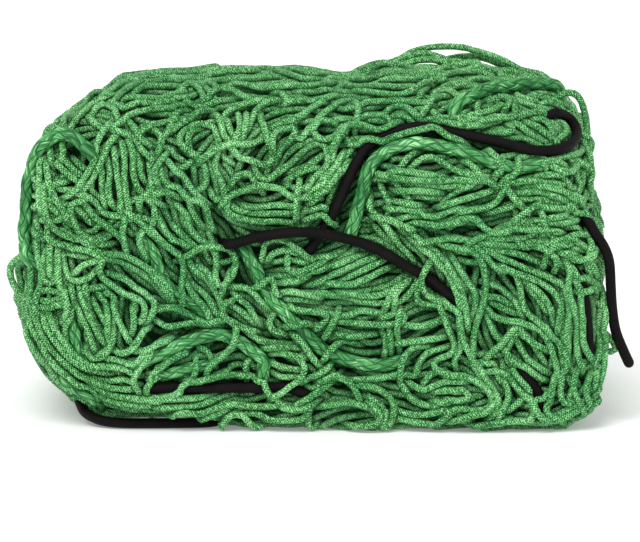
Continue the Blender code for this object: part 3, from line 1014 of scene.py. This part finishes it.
def mesh_cells(line, random):
    """Two twines along a line that are tied together and part again, as the cells of a slack mesh."""
    normal, _ = body_normal(line)
    side = np.cross(normal, unit(np.gradient(line, axis=0)))
    travelled = np.arange(len(line)) * STEP
    cell = random.uniform(0.022, 0.038)
    opening = np.maximum(np.sin(math.pi * travelled / cell + random.uniform(0, math.pi)) ** 2 - 0.12, 0)
    apart = 0.52 * TWINE + random.uniform(0.0015, 0.0055) * opening
    lean = random.uniform(-0.5, 0.5)
    return [line + side * (apart * (1 + lean))[:, None], line - side * (apart * (1 - lean))[:, None]]


# ---------------------------------------------------------------------------------------------- settling


def near_pairs(points, reach):
    """Every pair of points nearer than reach, found by sorting the points into cells of that size."""
    cells = np.floor((points - points.min(axis=0)) / reach).astype(np.int64) + 1
    size = cells.max(axis=0) + 2
    key = (cells[:, 0] * size[1] + cells[:, 1]) * size[2] + cells[:, 2]
    order = np.argsort(key, kind="stable")
    in_order = key[order]
    steps = [(a, b, c) for a in (-1, 0, 1) for b in (-1, 0, 1) for c in (-1, 0, 1)]
    found = []
    for a, b, c in steps[13:]:
        wanted = key + (a * size[1] + b) * size[2] + c
        start = np.searchsorted(in_order, wanted, "left")
        count = np.searchsorted(in_order, wanted, "right") - start
        first = np.repeat(np.arange(len(points)), count)
        within = np.arange(len(first)) - np.repeat(np.cumsum(count) - count, count)
        second = order[np.repeat(start, count) + within]
        if (a, b, c) == (0, 0, 0):
            keep = first < second
            first, second = first[keep], second[keep]
        close = ((points[first] - points[second]) ** 2).sum(axis=1) < reach * reach
        found.append(np.stack([first[close], second[close]]))
    return np.concatenate(found, axis=1)


class Tangle:
    """All the twines together, as points that are settled until no twine runs through another."""

    def __init__(self, twines, holds, slacks):
        self.lengths = [len(twine) for twine in twines]
        self.points = np.concatenate(twines)
        self.home = self.points.copy()
        normal, depth = body_normal(self.points)
        slack = np.repeat(slacks, self.lengths)
        self.upward = normal * (slack > 0)[:, None]
        self.roof = depth + slack
        self.owner = np.repeat(np.arange(len(twines)), self.lengths)
        self.hold = np.repeat(holds, self.lengths)[:, None]
        self.linked = self.owner[1:] == self.owner[:-1]
        self.inner = np.flatnonzero(self.linked[1:] & self.linked[:-1]) + 1
        self.ties = np.zeros((2, 0), int)

    def tie_neighbours(self, seed):
        """Ties twines that run side by side, as knotless netting is tied, at most once in a mesh bar."""
        random = np.random.default_rng(seed)
        ways = unit(np.gradient(self.points, axis=0))
        first, second = near_pairs(self.points, 1.9 * TWINE)
        along = (ways[first] * ways[second]).sum(axis=1)
        good = (self.owner[first] != self.owner[second]) & (np.abs(along) > 0.9)
        first, second, along = first[good], second[good], along[good]
        picked = random.permutation(len(first))[: len(first) // 8]
        clear = round(0.75 * MESH_BAR / STEP)
        busy = np.zeros(len(self.points) + clear, bool)
        ties = []
        for i, j, same in zip(first[picked], second[picked], along[picked] > 0):
            if busy[i] or busy[j]:
                continue
            for k in (-2, -1, 0, 1, 2):
                here, there = i + k, j + k if same else j - k
                if 0 <= here < len(self.owner) and 0 <= there < len(self.owner):
                    if self.owner[here] == self.owner[i] and self.owner[there] == self.owner[j]:
                        ties.append((here, there))
            busy[max(i - clear, 0) : i + clear] = True
            busy[max(j - clear, 0) : j + clear] = True
        self.ties = np.array(ties, int).T

    def spread(self, first, second, shift):
        """Moves the two points of each pair apart by shift, averaged where a point is in many pairs."""
        total = len(self.points)
        uses = np.bincount(first, minlength=total) + np.bincount(second, minlength=total)
        for k in range(3):
            push = np.bincount(second, shift[:, k], total) - np.bincount(first, shift[:, k], total)
            self.points[:, k] += push / np.maximum(uses, 1)

    def push_apart(self, pairs):
        first, second = pairs
        gap = self.points[second] - self.points[first]
        length = np.linalg.norm(gap, axis=1)
        close = length < TWINE
        first, second, gap, length = first[close], second[close], gap[close], length[close]
        shift = gap * (0.75 * (TWINE - length) / np.maximum(length, 1e-6))[:, None]
        self.spread(first, second, shift)

    def pull_ties(self):
        first, second = self.ties
        gap = self.points[second] - self.points[first]
        length = np.linalg.norm(gap, axis=1)
        shift = -gap * (0.5 * (length - 0.93 * TWINE) / np.maximum(length, 1e-6))[:, None]
        self.spread(first, second, shift)

    def keep_length(self):
        gap = np.diff(self.points, axis=0)
        length = np.linalg.norm(gap, axis=1)
        shift = gap * (0.25 * (length - STEP) / np.maximum(length, 1e-6) * self.linked)[:, None]
        self.points[:-1] += shift
        self.points[1:] -= shift

    def straighten(self, share):
        middle = 0.5 * (self.points[self.inner - 1] + self.points[self.inner + 1])
        self.points[self.inner] += share * (middle - self.points[self.inner])

    def pull_home(self):
        """Pulls twines back to where they were laid. Those with some slack stay free to sink and rise."""
        back = self.home - self.points
        back -= self.upward * (self.upward * back).sum(axis=1)[:, None]
        self.points += self.hold * back

    def clear_cords(self, cords):
        """Moves twines off the rope and the elastic cord, which stay where they are."""
        for path, radius in cords:
            low, high = path.min(axis=0) - 0.006, path.max(axis=0) + 0.006
            near = np.flatnonzero(((self.points > low) & (self.points < high)).all(axis=1))
            if not len(near):
                continue
            away = self.points[near][:, None] - path
            distance = np.linalg.norm(away, axis=2)
            nearest = distance.argmin(axis=1)
            length = distance[np.arange(len(near)), nearest]
            out = away[np.arange(len(near)), nearest] / np.maximum(length, 1e-6)[:, None]
            short = np.maximum(radius + 0.5 * TWINE - length, 0)
            self.points[near] += out * (0.8 * short)[:, None]

    def keep_inside(self):
        """Keeps twines under the level they were laid on, outside the core and above the ground."""
        normal, distance = body_normal(self.points)
        out = np.maximum(distance - self.roof, 0)
        deep = np.minimum(distance - (CORE_DEPTH - 0.0015), 0)
        self.points -= normal * (0.7 * out + 0.5 * deep)[:, None]
        self.points[:, 2] = np.maximum(self.points[:, 2], 0.5 * TWINE)

    def settle(self, cords, rounds):
        for step in range(rounds):
            if step % 6 == 0:
                first, second = near_pairs(self.points, 1.3 * TWINE)
                apart = (self.owner[first] != self.owner[second]) | (np.abs(first - second) > 3)
                pairs = first[apart], second[apart]
            self.push_apart(pairs)
            if self.ties.shape[1]:
                self.pull_ties()
            self.keep_length()
            self.straighten(0.12)
            self.pull_home()
            if step % 2:
                self.clear_cords(cords)
            if step % 3 == 2:
                self.keep_inside()
        self.clear_cords(cords)
        self.points[:, 2] = np.maximum(self.points[:, 2], 0.54 * TWINE)

    def twines(self):
        return np.split(self.points, np.cumsum(self.lengths)[:-1])


# ---------------------------------------------------------------------------------------------- meshes


def make_piece(name, vertices, quads, caps, uvs, material, slot):
    """Makes a smooth piece of quads and end caps with the weave's own coordinates, and puts it on root."""
    mesh = bpy.data.meshes.new(name)
    corners = np.concatenate([quads.ravel()] + [cap.ravel() for cap in caps]).astype(np.int32)
    sizes = np.concatenate([np.full(len(quads), 4)] + [np.full(len(cap), cap.shape[1]) for cap in caps])
    mesh.vertices.add(len(vertices))
    mesh.vertices.foreach_set("co", vertices.astype(np.float32).ravel())
    mesh.loops.add(len(corners))
    mesh.loops.foreach_set("vertex_index", corners)
    mesh.polygons.add(len(sizes))
    mesh.polygons.foreach_set("loop_start", (np.cumsum(sizes) - sizes).astype(np.int32))
    mesh.polygons.foreach_set("loop_total", sizes.astype(np.int32))
    mesh.polygons.foreach_set("use_smooth", np.ones(len(sizes), bool))
    weave = np.zeros((len(corners), 2), np.float32)
    weave[: quads.size] = uvs.reshape(-1, 2)
    mesh.uv_layers.new(name="weave").data.foreach_set("uv", weave.ravel())
    # Painted shade: a share from 0 to 1 by depth under the body's surface, so that twine deep between others
    # is coloured darker
    painted_light = smooth_step(body_distance(vertices), DARK_DEPTH, LIT_DEPTH)
    mesh.attributes.new("painted_light", "FLOAT", "POINT").data.foreach_set("value", painted_light.astype(np.float32))
    mesh.update(calc_edges=True)
    mesh.materials.append(material)
    piece = bpy.data.objects.new(name, mesh)
    bpy.context.scene.collection.objects.link(piece)
    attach(piece, "root")
    return piece


def ring_frames(paths):
    """The two directions of each ring round each path, carried along so that a tube doesn't twist."""
    longest = max(len(path) for path in paths)
    ways = []
    for path in paths:
        missing = ((0, longest - len(path)), (0, 0))
        ways.append(np.pad(unit(np.gradient(path, axis=0)), missing, "edge"))
    ways = np.stack(ways)
    aside = np.where(np.abs(ways[:, 0, 2:]) < 0.8, (0.0, 0.0, 1.0), (0.0, 1.0, 0.0))
    up, ups = aside, []
    for step in range(longest):
        way = ways[:, step]
        up = unit(up - way * (up * way).sum(axis=1)[:, None])
        ups.append(up)
    ups = np.stack(ups, axis=1)
    sides = np.cross(ways, ups)
    return [(up[: len(path)], side[: len(path)]) for path, up, side in zip(paths, ups, sides)]


def rings(path, frame, radii, sides):
    """Points round a path. radii is one number, one for each ring, or one for each point of each ring."""
    angles = 2 * math.pi * np.arange(sides) / sides
    up, side = frame
    out = up[:, None] * np.cos(angles)[:, None] + side[:, None] * np.sin(angles)[:, None]
    if np.ndim(radii) < 2:
        radii = np.asarray(radii, float).reshape(-1, 1)
    radii = np.broadcast_to(radii, out.shape[:2])
    return path[:, None] + out * radii[:, :, None]


def tubes(paths, radii, sides):
    """Tubes along paths: vertices, quads, caps and weave coordinates for make_piece."""
    vertices, quads, caps, uvs = [], [], [], []
    base = 0
    for path, frame, radius in zip(paths, ring_frames(paths), radii):
        vertices.append(rings(path, frame, radius, sides).reshape(-1, 3))
        ring, step = np.meshgrid(np.arange(len(path) - 1), np.arange(sides), indexing="ij")
        here, beside = ring * sides + step, ring * sides + (step + 1) % sides
        quads.append(base + np.stack([here, beside, beside + sides, here + sides], axis=-1).reshape(-1, 4))
        last = base + (len(path) - 1) * sides
        caps.append(np.stack([base + np.arange(sides)[::-1], last + np.arange(sides)]))
        along = np.concatenate([[0], np.cumsum(np.linalg.norm(np.diff(path, axis=0), axis=1))])
        start, end = step / sides, (step + 1) / sides
        low, high = along[ring], along[ring + 1]
        corner_uvs = [(start, low), (end, low), (end, high), (start, high)]
        uvs.append(np.stack([np.stack(pair, axis=-1) for pair in corner_uvs], axis=2).reshape(-1, 4, 2))
        base += len(path) * sides
    return np.concatenate(vertices), np.concatenate(quads), caps, np.concatenate(uvs)


def braid_height(along, sides):
    """How far the crossing strands of the braided rope stand out, for each ring and each point round it."""
    turns = BRAID_STRANDS * np.arange(sides) / sides
    lay = along[:, None] / BRAID_LAY
    left, right = turns[None] + lay, turns[None] - lay
    over = (np.floor(left) + np.floor(right)) % 2 == 0
    across = np.abs(np.where(over, left, right) % 1 - 0.5) * 2
    lengthwise = np.abs(np.where(over, right, left) % 1 - 0.5) * 2
    return (1 - across**4) * (1 - 0.6 * lengthwise**2)


def rounded_end(path, radius):
    """A cord's path and radii with its last end closed by a dome."""
    way = unit(path[-1] - path[-2])
    turn = np.linspace(0, 0.47 * math.pi, 6)[:, None]
    kept = path[((path - path[-1]) @ way) < -1.4 * radius]
    dome = path[-1] - way * radius * (1 - np.sin(turn))
    radii = np.concatenate([np.full(len(kept), radius), radius * np.cos(turn[:, 0])])
    return np.vstack([kept, dome]), radii


def core_mesh():
    """The closed inner body, coloured with painted shade, that is seen only as darkness between twines."""
    rows, columns = 72, 120
    polar = math.pi * (np.arange(rows) + 0.5) / rows
    turn = 2 * math.pi * np.arange(columns) / columns
    out = np.stack(
        [
            np.sin(polar)[:, None] * np.cos(turn),
            np.sin(polar)[:, None] * np.sin(turn),
            np.cos(polar)[:, None] * np.ones(columns),
        ],
        axis=-1,
    ).reshape(-1, 3)
    near, far = np.zeros(len(out)), np.full(len(out), 0.25)
    for _ in range(24):
        middle = 0.5 * (near + far)
        inside = body_distance(BODY_CENTRE + out * middle[:, None]) < CORE_DEPTH
        near, far = np.where(inside, middle, near), np.where(inside, far, middle)
    ring, step = np.meshgrid(np.arange(rows - 1), np.arange(columns), indexing="ij")
    here, beside = ring * columns + step, ring * columns + (step + 1) % columns
    quads = np.stack([here, here + columns, beside + columns, beside], axis=-1).reshape(-1, 4)
    caps = [np.arange(columns)[None], (rows - 1) * columns + np.arange(columns)[None, ::-1]]
    return BODY_CENTRE + out * near[:, None], quads, caps, np.zeros((len(quads), 4, 2))


# ---------------------------------------------------------------------------------------------- materials


class Shader:
    """A material with short ways to add and link its nodes."""

    def __init__(self, name, roughness, specular):
        self.material = bpy.data.materials.new(name)
        self.material.use_nodes = True
        self.tree = self.material.node_tree
        self.surface = self.tree.nodes["Principled BSDF"]
        self.surface.inputs["Roughness"].default_value = roughness
        self.surface.inputs["Specular IOR Level"].default_value = specular

    def put(self, value, socket):
        if isinstance(value, bpy.types.NodeSocket):
            self.tree.links.new(value, socket)
        else:
            socket.default_value = value

    def math(self, operation, *values):
        node = self.tree.nodes.new("ShaderNodeMath")
        node.operation = operation
        for value, socket in zip(values, node.inputs):
            self.put(value, socket)
        return node.outputs[0]

    def vector(self, *values):
        node = self.tree.nodes.new("ShaderNodeCombineXYZ")
        for value, socket in zip(values, node.inputs):
            self.put(value, socket)
        return node.outputs[0]

    def weave(self):
        """The turn round the tube, from 0 to 1, and the metres along it."""
        uv = self.tree.nodes.new("ShaderNodeUVMap")
        uv.uv_map = "weave"
        parts = self.tree.nodes.new("ShaderNodeSeparateXYZ")
        self.put(uv.outputs[0], parts.inputs[0])
        return parts.outputs[0], parts.outputs[1]

    def noise(self, scale, detail=2.0, vector=None):
        """Noise from 0 to 1. scale is in features for each metre where there is no vector."""
        node = self.tree.nodes.new("ShaderNodeTexNoise")
        if vector is None:
            vector = self.tree.nodes.new("ShaderNodeTexCoord").outputs["Object"]
        self.put(vector, node.inputs["Vector"])
        node.inputs["Scale"].default_value = scale
        node.inputs["Detail"].default_value = detail
        return node.outputs[0]

    def colours(self, value, stops):
        ramp = self.tree.nodes.new("ShaderNodeValToRGB")
        self.put(value, ramp.inputs[0])
        marks = ramp.color_ramp.elements
        while len(marks) < len(stops):
            marks.new(0.5)
        for mark, (place, colour) in zip(marks, stops):
            mark.position = place
            mark.color = (*colour, 1.0)
        return ramp.outputs[0]

    def tinted(self, colour, other, share):
        """A colour mixed with another one by a share from 0 to 1."""
        mix = self.tree.nodes.new("ShaderNodeMix")
        mix.data_type = "RGBA"
        self.put(share, mix.inputs[0])
        self.put(colour, mix.inputs[6])
        self.put(other, mix.inputs[7])
        return mix.outputs[2]

    def bump(self, height, distance, strength=1.0):
        node = self.tree.nodes.new("ShaderNodeBump")
        node.inputs["Strength"].default_value = strength
        node.inputs["Distance"].default_value = distance
        self.put(height, node.inputs["Height"])
        self.put(node.outputs[0], self.surface.inputs["Normal"])

    def painted_light(self):
        """How much painted light a point gets: 0, the full painted shade, deep between the twines, 1 on top
        of them.
        """
        node = self.tree.nodes.new("ShaderNodeAttribute")
        node.attribute_name = "painted_light"
        return node.outputs["Fac"]

    def colour(self, value):
        self.put(value, self.surface.inputs["Base Color"])


def knitted_twine():
    """Green knitted twine: staggered stitches with painted highlight on their crowns and painted shade
    between, and painted shade on twine that lies deep between others.
    """
    shader = Shader("knitted_twine", roughness=0.55, specular=0.22)
    around, along = shader.weave()
    wander = shader.math("MULTIPLY", shader.noise(160.0, 1.0), 1.2)
    row = shader.math("ADD", shader.math("DIVIDE", along, STITCH), wander)
    rows = shader.math("SINE", shader.math("MULTIPLY", row, 2 * math.pi))
    column = shader.math("MULTIPLY_ADD", row, 0.12, shader.math("MULTIPLY", around, TWINE_COLUMNS))
    columns = shader.math("SINE", shader.math("MULTIPLY", column, 2 * math.pi))
    stitch = shader.math("MULTIPLY_ADD", shader.math("MULTIPLY", rows, columns), 0.42, 0.52)
    fleck = shader.math("MULTIPLY_ADD", shader.noise(950.0, 1.0), 1.7, -0.85)
    patch = shader.math("MULTIPLY_ADD", shader.noise(55.0, 2.0), 0.8, -0.40)
    # The stitch crowns get painted highlight and the hollows between them painted shade; fleck and patch vary
    # the tone at random
    tone = shader.math("ADD", stitch, shader.math("ADD", fleck, patch))
    stops = [
        (0.00, (0.006, 0.054, 0.010)),
        (0.30, (0.022, 0.160, 0.030)),
        (0.60, (0.106, 0.420, 0.114)),
        (0.95, (0.430, 0.880, 0.415)),
    ]
    base = shader.colours(tone, stops)
    cool = shader.math("MULTIPLY_ADD", shader.noise(22.0, 1.0), 2.0, -0.7)
    cool = shader.math("MULTIPLY", shader.math("MAXIMUM", cool, 0.0), 0.30)
    base = shader.tinted(base, (0.012, 0.230, 0.080, 1.0), cool)
    # Painted shade by depth: deep twine takes the painted shade green, twine on top keeps its own colour
    lit = shader.math("MULTIPLY_ADD", shader.painted_light(), 0.80, 0.20)
    shader.colour(shader.tinted(PAINTED_SHADE_GREEN, base, lit))
    shader.bump(stitch, 0.0005, 0.9)
    return shader.material


def braided_film():
    """Green rope braided from flat strands of split film: light and dark streaks along each strand, partly
    the film's own texture and partly painted highlight, painted shade at each strand's edges, and a silky
    shine.
    """
    shader = Shader("braided_film", roughness=0.42, specular=0.30)
    around, along = shader.weave()
    turns = shader.math("MULTIPLY", around, float(BRAID_STRANDS))
    lay = shader.math("DIVIDE", along, BRAID_LAY)
    left, right = shader.math("ADD", turns, lay), shader.math("SUBTRACT", turns, lay)
    count = shader.math("ADD", shader.math("FLOOR", left), shader.math("FLOOR", right))
    over = shader.math("FLOORED_MODULO", count, 2.0)
    # Streaks along each strand: partly the film's own texture, partly painted highlight
    streaks = []
    for across, lengthwise in ((left, right), (right, left)):
        fine, drawn_out = shader.math("MULTIPLY", across, 7.0), shader.math("MULTIPLY", lengthwise, 0.8)
        streaks.append(shader.noise(1.0, 3.0, shader.vector(fine, drawn_out, 0.0)))
    change = shader.math("SUBTRACT", streaks[1], streaks[0])
    streak = shader.math("MULTIPLY_ADD", change, over, streaks[0])
    place = shader.math("MULTIPLY_ADD", shader.math("SUBTRACT", right, left), over, left)
    # Painted shade that darkens each strand towards its edges, where it meets the strands beside it
    side = shader.math("ABSOLUTE", shader.math("SUBTRACT", shader.math("FRACT", place), 0.5))
    strand_edge_shade = shader.math("MULTIPLY", shader.math("POWER", shader.math("MULTIPLY", side, 2.0), 4.0), -0.30)
    tone = shader.math("ADD", streak, shader.math("MULTIPLY_ADD", shader.noise(60.0, 2.0), 0.5, -0.22))
    tone = shader.math("ADD", tone, strand_edge_shade)
    stops = [
        (0.30, (0.009, 0.080, 0.020)),
        (0.45, (0.026, 0.190, 0.046)),
        (0.58, (0.075, 0.350, 0.092)),
        (0.75, (0.380, 0.800, 0.380)),
    ]
    shader.colour(shader.colours(tone, stops))
    shader.bump(streak, 0.0003, 0.7)
    return shader.material


def covered_elastic():
    """Black elastic cord in a fine braided cover, worn a little brown."""
    shader = Shader("covered_elastic", roughness=0.55, specular=0.11)
    around, along = shader.weave()
    slant = shader.math("MULTIPLY", around, 16.0)
    pick = shader.math("DIVIDE", along, 0.0011)
    first = shader.math("SINE", shader.math("MULTIPLY", shader.math("ADD", slant, pick), 2 * math.pi))
    second = shader.math("SINE", shader.math("MULTIPLY", shader.math("SUBTRACT", slant, pick), 2 * math.pi))
    weave = shader.math("MAXIMUM", first, second)
    dust = shader.noise(120.0, 3.0)
    shader.colour(shader.colours(dust, [(0.30, (0.0022, 0.0016, 0.0018)), (0.75, (0.0070, 0.0048, 0.0048))]))
    shader.bump(weave, 0.00012, 0.7)
    return shader.material


# Painted shade: a dark green that stands in for the shaded twine deep inside the net
def painted_shade_core():
    shader = Shader("painted_shade_core", roughness=0.9, specular=0.1)
    shader.colour((0.012, 0.060, 0.020, 1.0))
    return shader.material


# ---------------------------------------------------------------------------------------------- the scene


def add_camera():
    camera = bpy.data.objects.new("camera", bpy.data.cameras.new("camera"))
    camera.data.sensor_width = SENSOR_WIDTH
    camera.data.lens = camera.data.sensor_width * CAMERA_DISTANCE / VIEW_WIDTH
    back = Vector((0.0, -math.cos(VIEW_TILT), math.sin(VIEW_TILT)))
    camera.location = Vector(VIEW_TARGET) + back * CAMERA_DISTANCE
    camera.rotation_euler = (math.radians(90) - VIEW_TILT, 0.0, 0.0)
    bpy.context.scene.collection.objects.link(camera)
    bpy.context.scene.camera = camera


def add_sun(name, toward, spread, strength):
    """Even soft light from one side of the sky. spread is the width of its disc in degrees."""
    data = bpy.data.lights.new(name, "SUN")
    data.angle = math.radians(spread)
    data.energy = strength
    light = bpy.data.objects.new(name, data)
    light.location = toward
    light.rotation_euler = Vector(toward).to_track_quat("Z", "Y").to_euler()
    bpy.context.scene.collection.objects.link(light)


def add_studio():
    """A plain white floor, white surroundings and soft lights."""
    world = bpy.data.worlds.new("studio")
    world.use_nodes = True
    tree = world.node_tree
    tree.nodes["Background"].inputs["Color"].default_value = (1.0, 1.0, 1.0, 1.0)
    strength = tree.nodes.new("ShaderNodeMapRange")
    strength.inputs["To Min"].default_value = SKY_LIGHT
    strength.inputs["To Max"].default_value = SKY_SEEN
    seen = tree.nodes.new("ShaderNodeLightPath").outputs["Is Camera Ray"]
    tree.links.new(seen, strength.inputs["Value"])
    tree.links.new(strength.outputs["Result"], tree.nodes["Background"].inputs["Strength"])
    bpy.context.scene.world = world
    add_sun("key", KEY_FROM, KEY_WIDTH, KEY_STRENGTH)
    mesh = bpy.data.meshes.new("floor")
    reach = FLOOR_REACH
    corners = [(-reach, -reach, 0), (reach, -reach, 0), (reach, reach, 0), (-reach, reach, 0)]
    mesh.from_pydata(corners, [], [(0, 1, 2, 3)])
    floor = bpy.data.objects.new("floor", mesh)
    shader = Shader("floor_paint", roughness=0.8, specular=0.2)
    shader.colour((FLOOR_GREY, FLOOR_GREY, FLOOR_GREY, 1.0))
    shader.surface.inputs["Emission Color"].default_value = (1.0, 1.0, 1.0, 1.0)
    shader.surface.inputs["Emission Strength"].default_value = FLOOR_GLOW
    mesh.materials.append(shader.material)
    bpy.context.scene.collection.objects.link(floor)
    bpy.context.scene.view_settings.view_transform = "Standard"


add_camera()

# The cords come first, and the twines are then laid round them
elastic_arc = smooth_route(onto_front(ELASTIC_ARC, PROUD), CORD_STEP)
end = smooth_step(elastic_arc[:, 0], *ARC_SINKS)
elastic_arc = on_level(elastic_arc, PROUD + (CORD_DEPTH - PROUD) * end)
upper_run = smooth_route(onto_front(ELASTIC_UPPER_RUN, CORD_DEPTH), CORD_STEP)
turn = smooth_step(upper_run[:, 0], *UPPER_RUN_RISES)
upper_run = on_level(upper_run, CORD_DEPTH + (PROUD - CORD_DEPTH) * turn)
for _ in range(UPPER_RUN_SMOOTHINGS):
    upper_run[1:-1] += 0.25 * (upper_run[:-2] - 2 * upper_run[1:-1] + upper_run[2:])
crossing = np.linalg.norm(elastic_arc[:, None] - upper_run, axis=2).min(axis=1)
elastic_arc[:, 1] -= CROSSING_RISE * np.exp(-((crossing / CROSSING_LENGTH) ** 2))

elastic_runs = {
    "elastic_cord_front_arc": elastic_arc,
    "elastic_cord_upper_run": upper_run,
    "elastic_cord_floor_run": smooth_route(ELASTIC_ON_FLOOR, CORD_STEP),
}
for name, route in ELASTIC_ON_FRONT.items():
    elastic_runs[name] = smooth_route(onto_front(route, CORD_DEPTH), CORD_STEP)
rope_runs = {}
for name, route in ROPE_ON_FRONT.items():
    rope_runs[name] = smooth_route(onto_front(route, ROPE_DEPTHS[name]), CORD_STEP)
for name, route in ROPE_ROUND_BODY.items():
    path = smooth_route(np.array(route) * MM, CORD_STEP)
    rope_runs[name] = on_level(path, np.clip(body_distance(path), PROUD, MOST_PROUD))

tail = smooth_route(ELASTIC_TAIL_ROUTE, CORD_STEP)
cords = [(path, ELASTIC / 2) for path in elastic_runs.values()] + [(tail, ELASTIC / 2)]
cords += [(path, ROPE / 2) for path in rope_runs.values()]
for name, path in elastic_runs.items():
    if name != "elastic_cord_floor_run":  # its own route takes it in under the twines
        elastic_runs[name] = dived(path, *ELASTIC_DIVE)
rope_runs = {name: dived(path, *ROPE_DIVE) for name, path in rope_runs.items()}

film = braided_film()
for name, path in rope_runs.items():
    rope_path = smooth_route(path, ROPE_STEP)
    along = np.arange(len(rope_path)) * ROPE_STEP
    radii = 0.5 * ROPE * (0.77 + 0.28 * braid_height(along, ROPE_SIDES))
    rope_mesh = tubes([rope_path], [radii], ROPE_SIDES)
    rope = make_piece(name.replace("border_rope", "rope"), *rope_mesh, film, "border_rope")
    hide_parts(name)

cover = covered_elastic()
for name, path in elastic_runs.items():
    cord_mesh = tubes([path], [ELASTIC / 2], ELASTIC_SIDES)
    elastic = make_piece(name.replace("elastic_cord", "elastic"), *cord_mesh, cover, "elastic_cord")
    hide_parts(name)
tail_path, tail_radii = rounded_end(tail, ELASTIC / 2)
tail_mesh = tubes([tail_path], [tail_radii], ELASTIC_SIDES)
tail_piece = make_piece("elastic_tail", *tail_mesh, cover, "elastic_cord")
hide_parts("elastic_cord_tail")

# The twines: the listed ones on top first, then the layers that fill the body under them
random = np.random.default_rng(SEED)
taken = Taken()
for path, radius in cords:
    seen = path[body_distance(path) > -0.0022]
    taken.mark(seen[3:-3], radius + 0.4 * TWINE)
uncrossed = [  # the stretches of cord and rope that no twine lies over
    elastic_arc[elastic_arc[:, 0] < ARC_CLEAR_TO],
    upper_run[upper_run[:, 0] > UPPER_RUN_CLEAR_FROM],
    rope_runs["border_rope_top_run"][3:-5],
]
uncrossed = np.concatenate(uncrossed)
top = []
for route in read_routes(TOP_TWINES):
    depth = TOP_DEPTH + random.uniform(-LAYING_SPREAD, LAYING_SPREAD)
    top.append(smooth_route(onto_front(route, depth), STEP))
to_back = 2 * BODY_CENTRE[1]
back = [np.column_stack([-twine[:, 0], to_back - twine[:, 1], twine[:, 2]]) for twine in top]
top += [on_level(twine, TOP_DEPTH) for twine in back if twine[:, 2].max() < HIGHEST_COPY]
top = [ducked(twine, uncrossed) for twine in lifted(top, MOST_LIFT) if len(twine) > 3]
top = [dived(twine, *TOP_DIVE) for twine in top]
clear = []
for y, route in CLEAR_TWINES:
    clear.append(smooth_route(np.array([(x, y, z) for x, z in route]) * MM, STEP))
cells = [mesh_cells(line, random) for line in wandering(WANDERING_LINES, LOOSE_DEPTH, SEED + 1)]
loose = lifted([twine for pair in cells for twine in pair], LOOSE_LIFT)
loose = [dived(ducked(twine, uncrossed), *LOOSE_DIVE) for twine in loose]
outer = []
for twine in lay_layer(OUTER_DEPTH, ROW_SPACING, OUTER_TWIST, SEED + 2, taken):
    bare = 1 - body_normal(twine)[0][:, 1] ** 2
    twine = on_level(twine, OUTER_DEPTH + BARE_RISE * bare)
    outer.append(dived(swayed(twine, random, OUTER_SWAY), *OUTER_DIVE))
middle = lay_layer(MIDDLE_DEPTH, ROW_SPACING, MIDDLE_TWIST, SEED + 3, Taken())
middle = [dived(swayed(twine, random, MIDDLE_SWAY), *MIDDLE_DIVE) for twine in middle]
layers = [
    (top, TOP_FREEDOM),
    (clear, CLEAR_FREEDOM),
    (loose, LOOSE_FREEDOM),
    (outer, OUTER_FREEDOM),
    (middle, MIDDLE_FREEDOM),
]
twines = [twine for layer, _ in layers for twine in layer]
holds = [hold for layer, (hold, _) in layers for _ in layer]
slacks = [slack for layer, (_, slack) in layers for _ in layer]
tangle = Tangle(twines, holds, slacks)
tangle.tie_neighbours(SEED + 5)
tangle.settle(cords, SETTLING_ROUNDS)
twines = tangle.twines()

under_from = len(twines) - len(middle)
zones = {}
for number, twine in enumerate(twines):
    x, y, z = twine.mean(axis=0)
    height = "bottom" if z < FOLD_HEIGHTS[0] else "middle" if z < FOLD_HEIGHTS[1] else "top"
    side = "front" if y < BODY_CENTRE[1] else "back"
    place = "under" if number >= under_from else "outer"
    zones.setdefault((height, side, place), []).append(twine)
knit = knitted_twine()
for (height, side, place), members in sorted(zones.items()):
    radii = [0.5 * TWINE * random.uniform(0.94, 1.06, len(twine)) for twine in members]
    netting_mesh = tubes(members, radii, TWINE_SIDES)
    netting = make_piece(f"netting_{height}_{side}_{place}", *netting_mesh, knit, "netting")
    if place == "outer":
        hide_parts(f"net_fold_{height}_{side}")

make_piece("netting_core", *core_mesh(), painted_shade_core(), "netting")
add_studio()
